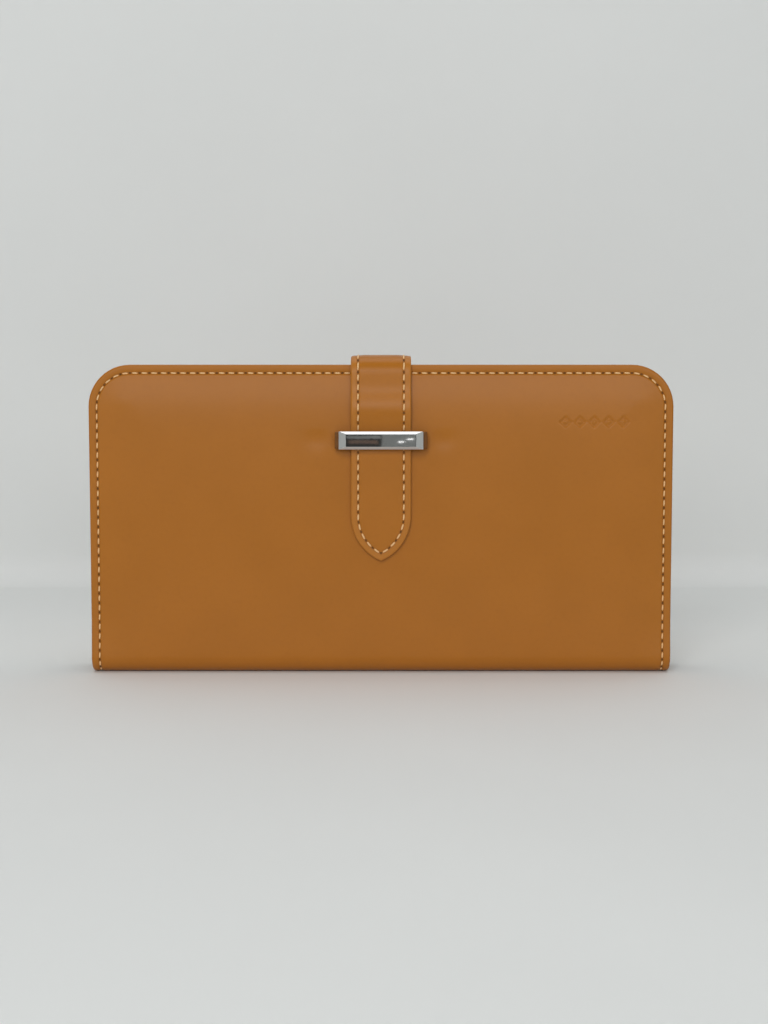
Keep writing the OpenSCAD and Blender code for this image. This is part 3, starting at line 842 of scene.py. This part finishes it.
def make_cover(side):
    sizes = bpy.context.scene.wallet_cover
    outline = cover_outline(sizes.corner_r)
    bottom = sizes.border_drop + 0.1 * MM

    def back(extra):
        return lambda s: -(core_depth(s) + extra)

    # Over the foam's rim the leather lies lower.
    thin = -sizes.leather_t - 0.42 * MM
    r = 0.5 * MM
    rim = [
        (0.0, lambda s: -sizes.edge_r - bottom * padding_fade(s) - 0.3 * MM),
        (0.0, back(sizes.strip_t - r)),
        (0.15 * MM, back(sizes.strip_t - 0.15 * MM)),
        (r, back(sizes.strip_t)),
        (3 * MM, back(sizes.strip_t)),
        (sizes.strip_w, back(sizes.strip_t)),
        (sizes.strip_w, back(0.02 * MM)),
        (0.7 * MM, back(0.02 * MM)),
        (0.7 * MM, thin),
        (5.5 * MM, thin),
        (8.5 * MM, -sizes.leather_t),
        (sizes.strip_w + 1 * MM, -sizes.leather_t),
    ]
    face = [inset * MM for inset in FACE_INSETS]
    skin = slab(outline, cover_place(side), face, rim, cover_relief(side, sizes),
                sizes.seam_inset, seam_step())
    wrap(skin, side, "cover_skin", "cover_leather", "cover_leather", "tan_leather")


def make_foam(side):
    """Foam pad glued to the board, thinner along its rim."""
    sizes = bpy.context.scene.wallet_cover
    rim_w = 6 * MM
    outline = Outline(HALF_W - rim_w, FOLD_R + 3 * MM, HEIGHT - rim_w, sizes.corner_r - rim_w,
                      steps(0, HEIGHT, 6 * MM), steps(-HALF_W, HALF_W, 6 * MM), 8,
                      foot_inset=True)
    bottom = -sizes.leather_t - 0.78 * MM

    def place(x, z, height):
        return (x, side * (HALF_T + height), z)

    gap, fall = 0.03 * MM, 0.45 * MM

    def top(x, z, inset):
        return -sizes.leather_t - gap - fall * (1 - smoothstep(inset, 0, 4 * MM))

    face = [i * MM for i in (6, 4, 3, 2, 1, 0.4, 0.1)]
    rim = [(0.0, top(0, 0, 0) - 0.1 * MM), (0.0, bottom + 0.05 * MM), (0.1 * MM, bottom),
           (5 * MM, bottom)]
    skin = slab(outline, place, face, rim, top)
    name = SIDE_NAME[side]
    foam = skin.build(f"{name}_padding_foam", "foam", "foam", [f"{name}_padding"], LEAF[side])


def make_lining(side):
    """Cloth glued over the turned edge, from the spine's middle to the top of the cover."""
    sizes = bpy.context.scene.wallet_cover
    edge = 3 * MM
    outline = Outline(
        HALF_W - edge, 0, COVER_S - edge, sizes.corner_r - edge,
        steps(0, COVER_S - sizes.corner_r, 5 * MM, [(FLAT - 1 * MM, FLAT + FOLD_ARC, 0.8 * MM)]),
        steps(-HALF_W, HALF_W, 6 * MM), 8)

    def depth(extra):
        return lambda s: -(core_depth(s) + sizes.strip_t + 0.01 * MM + extra)

    rim = [(0.0, depth(sizes.lining_t - 0.05 * MM)), (0.0, depth(0)), (4 * MM, depth(0))]
    skin = slab(outline, cover_place(side), [4 * MM, 1 * MM, 0.1 * MM], rim,
                lambda x, s, d: depth(sizes.lining_t)(s))
    cloth = wrap(skin, side, "lining_cloth", "lining", "lining", "lining")
    # On the inside of the fold the way round is shorter.
    length = COVER_S - edge - (core_depth(HALF_T) + sizes.strip_t) * pi / 2


def make_cover_stitches(side):
    sizes = bpy.context.scene.wallet_cover
    relief = cover_relief(side, sizes)
    line, length = pattern_line(seam_points(), cover_place(side),
                                lambda x, s: relief(x, s, sizes.seam_inset))
    skin = Skin()
    stitches(skin, line, length, sizes.thread_r, sizes.seam_pitch)
    wrap(skin, side, "cover_stitches", "cover_thread", "thread", "thread")


def make_spine_board():
    """Flat board glued inside the spine."""
    sizes = bpy.context.scene.wallet_cover
    half = FLAT - 0.3 * MM
    outline = Outline(HALF_W - 1 * MM, -half, half, 1 * MM, steps(-half, half, 2 * MM),
                      steps(-HALF_W, HALF_W, 8 * MM), 3, foot_inset=True)
    low, high = sizes.leather_t, sizes.leather_t + sizes.spine_core_t
    rim = [(0.0, high - 0.1 * MM), (0.0, low + 0.1 * MM), (0.1 * MM, low), (1 * MM, low)]
    skin = slab(outline, lambda *point: point, [1 * MM, 0.1 * MM], rim, lambda x, s, d: high)
    skin.build("spine_board", "board", "board", ["spine_stiffener"], body="spine")


# ---- Strap ----

def strap_path(side, strap):
    """Smoothed line of the strap's inner face in (y, z), from the middle of the top edge down."""
    thick = strap.leather_t + strap.backing_t
    z_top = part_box("strap_bridge_leather")[1].z - thick
    y_flat = HALF_T + (0.1 * MM if side == FRONT else 0.0)
    y_bend = HALF_T - 0.3 * MM
    r, fine = strap.bend_r, 0.25 * MM
    # Under the bend the strap falls straight, swells out, and then lies on the cover.
    bulge = strap.bulge * (1.0 if side == FRONT else 0.35)
    line = [(y, z_top) for y in np.arange(0, y_bend - r, fine)]
    line += [(y_bend - r + r * sin(a), z_top - r + r * cos(a))
             for a in np.arange(0, pi / 2, 0.06)]
    drop = z_top - r - strap.lie_z
    for t in np.arange(0.02, 1, 0.02):
        swell = smoothstep(t, 0.28, 0.64) - smoothstep(t, 0.64, 1)
        y = y_bend + (y_flat - y_bend) * smoothstep(t) + bulge * swell
        line.append((y, z_top - r - drop * t))
    z_end = STRAP_LOW.z if side == FRONT else ROOT_LOW.z
    line += [(y_flat, z) for z in np.arange(strap.lie_z, z_end - 0.2 * MM, -fine)]
    line = np.array(line)
    far = np.array(lengths(line))
    even = np.arange(0, far[-1], fine)
    line = np.stack([np.interp(even, far, line[:, k]) for k in (0, 1)], 1)
    mirrored = np.concatenate([line[:0:-1] * (-1, 1), line])
    reach = 12
    window = np.exp(-(np.arange(-reach, reach + 1) / 5.0) ** 2)
    window /= window.sum()
    tail = line[-1] + np.arange(1, reach + 1)[:, None] * (line[-1] - line[-2])
    padded = np.concatenate([mirrored, tail])
    soft = np.stack([np.convolve(padded[:, k], window, "same") for k in (0, 1)], 1)
    return soft[len(line) - 1:2 * len(line) - 1], even


def strap_place(side, strap):
    """Turns (x, s, height) into a point: s runs down the strap from the middle of the top edge."""
    line, far = strap_path(side, strap)
    step = np.gradient(line, axis=0)
    step /= np.linalg.norm(step, axis=1)[:, None]
    normals = np.stack([-step[:, 1], step[:, 0]], 1)
    # The first normal points up, away from the covers.
    if normals[0][1] < 0:
        normals = -normals

    def place(x, s, height):
        y, z = (np.interp(s, far, line[:, k]) for k in (0, 1))
        ny, nz = (np.interp(s, far, normals[:, k]) for k in (0, 1))
        return (x, side * (y + ny * height), z + nz * height)

    return place, far, line


def strap_length(side, strap):
    """Distance down the strap to its end."""
    _, far, line = strap_place(side, strap)
    z_end = STRAP_LOW.z if side == FRONT else ROOT_LOW.z
    return float(np.interp(-z_end, -line[:, 1], far))


def strap_outline(side, strap, half_w, trim=0.0, columns=11):
    length = strap_length(side, strap) - trim
    kind, radius = (PointedOutline, strap.point) if side == FRONT else (Outline, 3 * MM)
    rows = steps(0, length - radius, 1.1 * MM)
    return kind(half_w, 0, length, radius, rows, steps(-half_w, half_w, 2 * half_w / columns), 16)


def strap_relief(strap, base):
    """Height of the strap's outer face over its inner face."""

    def height(x, s, inset):
        lip = rounding(inset, strap.edge_r)
        groove = 0.2 * MM * np.exp(-((inset - strap.seam_inset) / (0.4 * MM)) ** 2)
        fall = 0.12 * MM * (1 - smoothstep(inset, strap.seam_inset, strap.seam_inset + 3 * MM))
        fall += strap.lean * max(0.0, 1 - inset / strap.seam_inset)
        return base - float(lip + groove + fall)

    return height


def strap_bend(side):
    """The strap's bends: the back cover to the top, or the top to the hanging end."""
    turn = max(abs(STRAP_LOW.y), ROOT_HIGH.y)
    reach = 6.4 * MM
    high = (0, side * (turn - reach), STRAP_HIGH.z)
    low = (0, side * turn, STRAP_HIGH.z - reach)
    if side == BACK:
        return ("back_leaf", "strap_arch", low, high)
    return ("strap_arch", "strap_end", high, low)


def make_strap(side):
    strap = bpy.context.scene.wallet_strap
    half_w = STRAP_HIGH.x
    seam = strap_outline(side, strap, half_w, columns=20).loop(strap.seam_inset)
    length = lengths(seam)[-1]
    pitch = length / round(length / strap.seam_pitch)
    place, _, _ = strap_place(side, strap)
    top = strap.leather_t + strap.backing_t
    outline = strap_outline(side, strap, half_w)
    face = [i * MM for i in (4.6, 3.8, 3.2, 2.85, 2.6, 2.4, 2.2, 1.95, 1.5, 1.0, 0.6, 0.4, 0.2,
                             0.07, 0.0)]
    low = strap.backing_t + 0.01 * MM
    rim = [(0.0, low + 0.12 * MM), (0.12 * MM, low), (4.6 * MM, low)]
    relief = strap_relief(strap, top)
    skin = slab(outline, place, face, rim, relief, strap.seam_inset, pitch)
    name, parts = ("rear", ("root", "bridge")) if side == BACK else ("front", ("tongue",))

    def build(skin, piece, layer, finish, slot):
        nodes = [f"strap_{part}_{layer}" for part in parts]
        skin.build(f"strap_{name}_{piece}", finish, slot, nodes, bend=strap_bend(side))

    build(skin, "leather", "leather", "strap_leather", "tan_leather")
    # Backing, a little narrower
    outline = strap_outline(side, strap, half_w - 0.12 * MM, 0.12 * MM)
    rim = [(0.0, strap.backing_t - 0.15 * MM), (0.0, 0.25 * MM), (0.1 * MM, 0.07 * MM),
           (0.3 * MM, 0.0), (3 * MM, 0.0)]
    skin = slab(outline, place, [3 * MM, 0.12 * MM], rim, lambda x, s, d: strap.backing_t)
    build(skin, "backing", "backing", "backing_leather", "tan_leather")
    # Stitches
    line, _ = pattern_line(seam, place, lambda x, s: relief(x, s, strap.seam_inset))
    skin = Skin()
    stitches(skin, line, length, strap.thread_r, strap.seam_pitch)
    build(skin, "stitches", "thread", "thread", "thread")


# ---- Carried-over shapes with softened edges ----

def softened(node, name, finish, body, radius, segments=3):
    """A copy of a CAD node's shape with its flat faces joined and its edges rounded."""
    shape = bmesh.new()
    shape.from_mesh(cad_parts[node].data)
    bmesh.ops.remove_doubles(shape, verts=shape.verts, dist=0.002 * MM)
    bmesh.ops.dissolve_limit(shape, angle_limit=radians(1), verts=shape.verts, edges=shape.edges)
    sharp = [e for e in shape.edges if len(e.link_faces) == 2
             and e.calc_face_angle(0) > radians(20)]
    bmesh.ops.bevel(shape, geom=sharp, offset=radius, segments=segments, profile=0.5,
                    affect="EDGES", clamp_overlap=True)
    bmesh.ops.recalc_face_normals(shape, faces=shape.faces)
    mesh = bpy.data.meshes.new(name)
    shape.to_mesh(mesh)
    shape.free()
    points = [vertex.co.xzy for vertex in mesh.vertices]
    piece = dress(name, mesh, finish, points, [NO_SEAM] * len(points))
    weighted = piece.modifiers.new("Even shading", "WEIGHTED_NORMAL")
    weighted.keep_sharp = True
    return fix(piece, [node], body)


# ---- Inside ----

def sheet_outline(node, radius=None):
    """Outline of an inner sheet, with the covers' corners unless a radius is given."""
    low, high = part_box(node)
    trim = 0.8 * MM
    radius = radius or bpy.context.scene.wallet_cover.corner_r - trim
    return Outline(high.x, low.z, high.z, radius, steps(low.z, high.z - radius, 5 * MM),
                   steps(-high.x, high.x, 5 * MM), 8, foot_inset=True)


def make_plate(side, name, node, radius=None):
    """A flat leather sheet of the inside, with a rounded edge and a pressed line along it."""
    face_y, back_y = sorted(abs(corner.y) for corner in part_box(node))
    pockets = bpy.context.scene.wallet_pockets
    outline = sheet_outline(node, radius)
    r = pockets.edge_r

    def relief(x, z, inset):
        press = pockets.press_d * np.exp(-((inset - pockets.press_inset) / (0.3 * MM)) ** 2)
        return face_y + float(rounding(inset, r) + press)

    line = pockets.press_inset
    face = [line + 3 * MM] + [line + i * MM for i in (1, 0.55, 0.25, 0, -0.25, -0.55)]
    face += [r * part for part in (1, 0.5, 0.15, 0)]
    rim = [(0.0, back_y - 0.1 * MM), (0.1 * MM, back_y), (5 * MM, back_y)]
    skin = slab(outline, leaf_place(side), face, rim, relief)
    return skin.build(name, "pocket_leather", "tan_leather", [node], body=LEAF[side])


def make_inner_stitches(side, name, lines, face, nodes=()):
    """Stitches along lines of (x, z) on inner faces; face gives their distance from the middle."""
    pockets = bpy.context.scene.wallet_pockets
    skin = Skin()
    for points in lines:
        line, length = pattern_line(points, leaf_place(-side), lambda x, z: -face(z))
        stitches(skin, line, length, pockets.thread_r, pockets.seam_pitch)
    return skin.build(name, "thread", "thread", nodes, body=LEAF[side])


def leaf_seam(foot):
    """Points (x, z) along the covers' seam as it shows inside, above a foot."""
    return seam_points(foot, HEIGHT, 2 * MM, 16)


def other_half(half):
    """The rest of a section that is the same on both sides of its last point."""
    return [(inset, -share) for inset, share in reversed(half[:-1])]


def make_gusset():
    """Closed band between the coin pocket's walls, with one fold pointing inwards."""
    low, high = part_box("coin_pocket_gusset")
    outline = sheet_outline("coin_pocket_gusset")
    middle = (low.y + high.y) / 2
    half = (high.y - low.y) / 2
    # Half of the section's outer and inner line: (inset in millimetres, share of half the depth)
    outer = [(0.0, -1.0), (0.05, -0.86), (0.9, -0.5), (1.9, -0.1), (2.05, 0.0)]
    inner = [(4.2, 1.0), (4.2, 0.8), (1.3, 0.72), (2.2, 0.4), (2.85, 0.1), (3.0, 0.0)]
    section = [*outer, *other_half(outer), *inner, *other_half(inner)]
    skin = Skin()
    rings = []
    for inset, share in section:
        flat = [(x, z, middle + half * share) for x, z in outline.ring(inset * MM)]
        spread = [(x + share * half, z + share * half, 0.0) for x, z, _ in flat]
        rings.append(skin.row([leaf_place(BACK)(*p) for p in flat], spread))
    for a, b in zip(rings, rings[1:] + rings[:1]):
        skin.join(a, b, closed=True)
    skin.build("coin_pocket_bellows", "lining", "lining", ["coin_pocket_gusset"], body="back_leaf")


# ---- Stage ----

def make_stage():
    stage = bpy.context.scene.wallet_stage
    half, near = 2.2, -2.4
    r = stage.cove_r
    wall = HALF_T + stage.wall
    profile = [(near, 0.0)] + [(y, 0.0) for y in np.linspace(near + 0.4, wall - r, 12)]
    profile += [(wall - r + r * sin(a), r - r * cos(a)) for a in np.linspace(0.1, pi / 2, 14)]
    profile += [(wall, z) for z in (0.2, 0.6, 1.8)]
    skin = Skin()
    rows = []
    for y, z in profile:
        points = [(x, y, z - 0.05 * MM) for x in np.linspace(-half, half, 9)]
        rows.append(skin.row(points, points))
    for a, b in zip(rows, rows[1:]):
        skin.join(a, b)
    mesh = bpy.data.meshes.new("backdrop")
    mesh.from_pydata(skin.points, [], skin.faces)
    backdrop = dress("backdrop", mesh, "paper", skin.patterns, skin.seams)


# Name, finish, centre and the two sides, in millimetres
CARDS = (
    ("dark_card", "dark_card", (0, -720, 60), (600, 0, 0), (0, 0, 400)),
    ("dark_floor_card", "dark_card", (0, -450, 2), (-600, 0, 0), (0, 500, 0)),
    ("left_card", "side_card", (-450, -250, 120), (0, -700, 0), (0, 0, 300)),
    ("right_card", "side_card", (450, -250, 120), (0, 700, 0), (0, 0, 300)),
    ("grey_card", "grey_card", (13, -715, 52), (28, 0, 0), (0, 0, 24)),
    ("brown_card", "brown_card", (-14.8, -712, 48.6), (22.5, 0, 0), (0, 0, 4.6)),
    ("upper_card", "grey_card", (-14.8, -712, 55.0), (26, 0, 0), (0, 0, 4)),
    ("long_glint", "white_card", (21, -710, 52.4), (5, 0, 0), (0, 0, 1.6)),
    ("short_glint", "white_card", (14, -710, 48.8), (5, 0, 0), (0, 0, 1.4)),
)


def make_card(name, finish, centre, across, up):
    """A card out of the camera's view, there only to be reflected."""
    across, up = Vector(across) / 2, Vector(up) / 2
    corners = [Vector(centre) + i * across + j * up for i, j in
               ((-1, -1), (1, -1), (1, 1), (-1, 1))]
    mesh = bpy.data.meshes.new(name)
    mesh.from_pydata(corners, [], [(0, 3, 2, 1)])
    mesh.materials.append(material(finish))
    card = add_object(name, mesh)
    card.visible_camera = card.visible_shadow = card.visible_diffuse = False


def aim(item, target):
    item.rotation_euler = (Vector(target) - item.location).to_track_quat("-Z", "Y").to_euler()


def area_light(name, place, target, width, height, power):
    light = bpy.data.lights.new(name, "AREA")
    light.shape, light.size, light.size_y = "RECTANGLE", width, height
    light.energy = power
    lamp = add_object(name, light)
    lamp.location = place
    aim(lamp, target)
    return lamp


def make_lights():
    target = (0, 0, HEIGHT / 2)
    area_light("ceiling_light", (0, 0.02, 1.25), (0, 0.02, 0.0), 1.2, 0.9, 4.6)
    area_light("window_light", (0.0, -1.35, 0.42), target, 1.6, 0.3, 5.4)
    soft = area_light("front_soft", (-0.22, -1.05, 0.75), target, 0.42, 0.34, 4.2)
    soft.visible_glossy = False
    world = bpy.data.worlds.new("room")
    world.use_nodes = True
    sky = world.node_tree.nodes["Background"].inputs
    sky["Color"].default_value = (0.93, 0.96, 1.0, 1)
    sky["Strength"].default_value = 0.2
    bpy.context.scene.world = world


def make_camera():
    stage = bpy.context.scene.wallet_stage
    target = Vector((1 * MM, 0, HEIGHT / 2 + 1.8 * MM))
    data = bpy.data.cameras.new("camera")
    data.sensor_fit = "VERTICAL"
    data.angle = stage.view_angle
    data.clip_start, data.clip_end = 0.01, 20
    camera = add_object("camera", data)
    back = Vector((0, -cos(stage.elevation), sin(stage.elevation)))
    camera.location = target + back * stage.distance
    aim(camera, target)
    bpy.context.scene.camera = camera
    bpy.context.scene.view_settings.view_transform = "Standard"


# ---- Operators ----

class WALLET_OT_covers(bpy.types.Operator):
    """Front and back cover leather, each with its half of the spine"""
    bl_idname = "wallet.covers"
    bl_label = "Cover leather"

    def execute(self, context):
        for side in (FRONT, BACK):
            make_cover(side)
        make_spine_board()
        return {"FINISHED"}


class WALLET_OT_linings(bpy.types.Operator):
    """Cloth lining of both covers and the spine"""
    bl_idname = "wallet.linings"
    bl_label = "Linings"

    def execute(self, context):
        for side in (FRONT, BACK):
            make_lining(side)
        return {"FINISHED"}


class WALLET_OT_cover_stitches(bpy.types.Operator):
    """Saddle stitches round both covers and the spine"""
    bl_idname = "wallet.cover_stitches"
    bl_label = "Cover stitches"

    def execute(self, context):
        for side in (FRONT, BACK):
            make_cover_stitches(side)
        return {"FINISHED"}


class WALLET_OT_strap(bpy.types.Operator):
    """Strap leather, backing and stitches, in a rear and a front length"""
    bl_idname = "wallet.strap"
    bl_label = "Strap"

    def execute(self, context):
        for side in (FRONT, BACK):
            make_strap(side)
        return {"FINISHED"}


class WALLET_OT_keeper(bpy.types.Operator):
    """Keeper loop with its polished bar and washers"""
    bl_idname = "wallet.keeper"
    bl_label = "Keeper"

    def execute(self, context):
        softened("keeper_loop", "keeper_loop_leather", "shaded_loop_leather",
                 "front_leaf", 0.22 * MM)
        for node, name, radius, segments in (
            ("keeper_bar", "keeper_bar_plate", 0.13 * MM, 3),
            ("keeper_washers", "keeper_washer_rings", 0.1 * MM, 2),
        ):
            softened(node, name, "chrome", "front_leaf", radius, segments)
        return {"FINISHED"}


class WALLET_OT_fillings(bpy.types.Operator):
    """Foam padding and board inside both covers"""
    bl_idname = "wallet.fillings"
    bl_label = "Padding and board"

    def execute(self, context):
        for side in (FRONT, BACK):
            make_foam(side)
        for side, name in SIDE_NAME.items():
            node = f"{name}_stiffener"
            softened(node, f"{node}_board", "board", LEAF[side], 0.12 * MM, 2)
        return {"FINISHED"}


class WALLET_OT_bill_pockets(bpy.types.Operator):
    """Bill compartments of both halves: edge strips and the front half's inner panel"""
    bl_idname = "wallet.bill_pockets"
    bl_label = "Bill compartments"

    def execute(self, context):
        for side, name in SIDE_NAME.items():
            softened(f"{name}_bill_edges", f"{name}_bill_edge_strip", "pocket_leather",
                     LEAF[side], 0.15 * MM, 2)
        make_plate(FRONT, "front_inner_sheet", "front_inner_panel")
        return {"FINISHED"}


class WALLET_OT_card_pockets(bpy.types.Operator):
    """Three stepped card pockets with their edge strips and stitches"""
    bl_idname = "wallet.card_pockets"
    bl_label = "Card pockets"

    def execute(self, context):
        pockets = [f"card_pocket_{i}" for i in (1, 2, 3)]
        for node in pockets:
            make_plate(FRONT, f"{node}_sheet", node)
        softened("card_pocket_edges", "card_pocket_edge_strip", "pocket_leather",
                 "front_leaf", 0.12 * MM, 2)
        faces = [(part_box(node)[0].z, -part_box(node)[1].y) for node in pockets]

        def face(z):
            return min([-PANEL_HIGH.y] + [y for mouth, y in faces if z > mouth])

        make_inner_stitches(FRONT, "front_inner_stitches", [leaf_seam(PANEL_LOW.z + 1 * MM)], face)
        low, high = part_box("card_divider_thread")
        make_inner_stitches(FRONT, "card_divider_stitches", [[(0.0, low.z), (0.0, high.z)]], face,
                            ["card_divider_thread"])
        return {"FINISHED"}


class WALLET_OT_coin_pocket(bpy.types.Operator):
    """Coin pocket: walls, folded gusset, top strip, end tabs and stitches"""
    bl_idname = "wallet.coin_pocket"
    bl_label = "Coin pocket"

    def execute(self, context):
        make_plate(BACK, "coin_pocket_back_sheet", "coin_pocket_back")
        make_plate(BACK, "coin_pocket_front_sheet", "coin_pocket_front", 0.4 * MM)
        make_gusset()
        for node in ("coin_pocket_top_strip", "zip_end_tabs"):
            softened(node, f"{node}_sheet", "pocket_leather", "back_leaf",
                     0.18 * MM, 3)
        low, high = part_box("coin_pocket_front")
        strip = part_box("coin_pocket_top_strip")[0]
        end = HALF_W - 6 * MM
        lines = [leaf_seam(low.z + 1.5 * MM)]
        for z in (high.z - 1.6 * MM, strip.z + 1.6 * MM):
            lines.append([(-end, z), (end, z)])
        make_inner_stitches(BACK, "coin_pocket_stitches", lines, lambda z: low.y)
        return {"FINISHED"}


class WALLET_OT_zip(bpy.types.Operator):
    """Zip: tapes, teeth, slider and pull"""
    bl_idname = "wallet.zip"
    bl_label = "Zip"

    def execute(self, context):
        for node in ("zip_tape_upper", "zip_tape_lower"):
            softened(node, f"{node}_cloth", "tape", "back_leaf", 0.1 * MM, 2)
        for node, end, body, segments in (
            ("zip_teeth", "row", "back_leaf", 2), ("zip_slider", "body", "slider", 3),
            ("zip_pull", "tab", "pull", 3),
        ):
            softened(node, f"{node}_{end}", "zip_metal", body, 0.2 * MM, segments)
        return {"FINISHED"}


class WALLET_OT_stage(bpy.types.Operator):
    """Backdrop, lights and camera"""
    bl_idname = "wallet.stage"
    bl_label = "Stage"

    def execute(self, context):
        make_stage()
        for name, finish, *vectors in CARDS:
            make_card(name, finish, *(Vector(vector) * MM for vector in vectors))
        make_lights()
        make_camera()
        return {"FINISHED"}


STEPS = (
    WALLET_OT_covers, WALLET_OT_linings, WALLET_OT_cover_stitches, WALLET_OT_strap,
    WALLET_OT_keeper, WALLET_OT_fillings, WALLET_OT_bill_pockets, WALLET_OT_card_pockets,
    WALLET_OT_coin_pocket, WALLET_OT_zip, WALLET_OT_stage,
)


class WALLET_PT_build(bpy.types.Panel):
    """Buttons that build the wallet, and its sizes and colours"""
    bl_idname = "WALLET_PT_build"
    bl_label = "Long wallet"
    bl_space_type = "VIEW_3D"
    bl_region_type = "UI"
    bl_category = "Wallet"

    def draw(self, context):
        for step in STEPS:
            self.layout.operator(step.bl_idname)
        for name, group in GROUPS.items():
            box = self.layout.box()
            for field in group.__annotations__:
                box.prop(getattr(context.scene, name), field)


def register():
    for kind in (*GROUPS.values(), *STEPS, WALLET_PT_build):
        bpy.utils.register_class(kind)
    for name, group in GROUPS.items():
        setattr(bpy.types.Scene, name, PointerProperty(type=group))


def unregister():
    for name in GROUPS:
        delattr(bpy.types.Scene, name)
    for kind in reversed((*GROUPS.values(), *STEPS, WALLET_PT_build)):
        bpy.utils.unregister_class(kind)


def main():
    register()
    for step in STEPS:
        group, name = step.bl_idname.split(".")
        getattr(getattr(bpy.ops, group), name)()


if __name__ == "__main__":
    main()
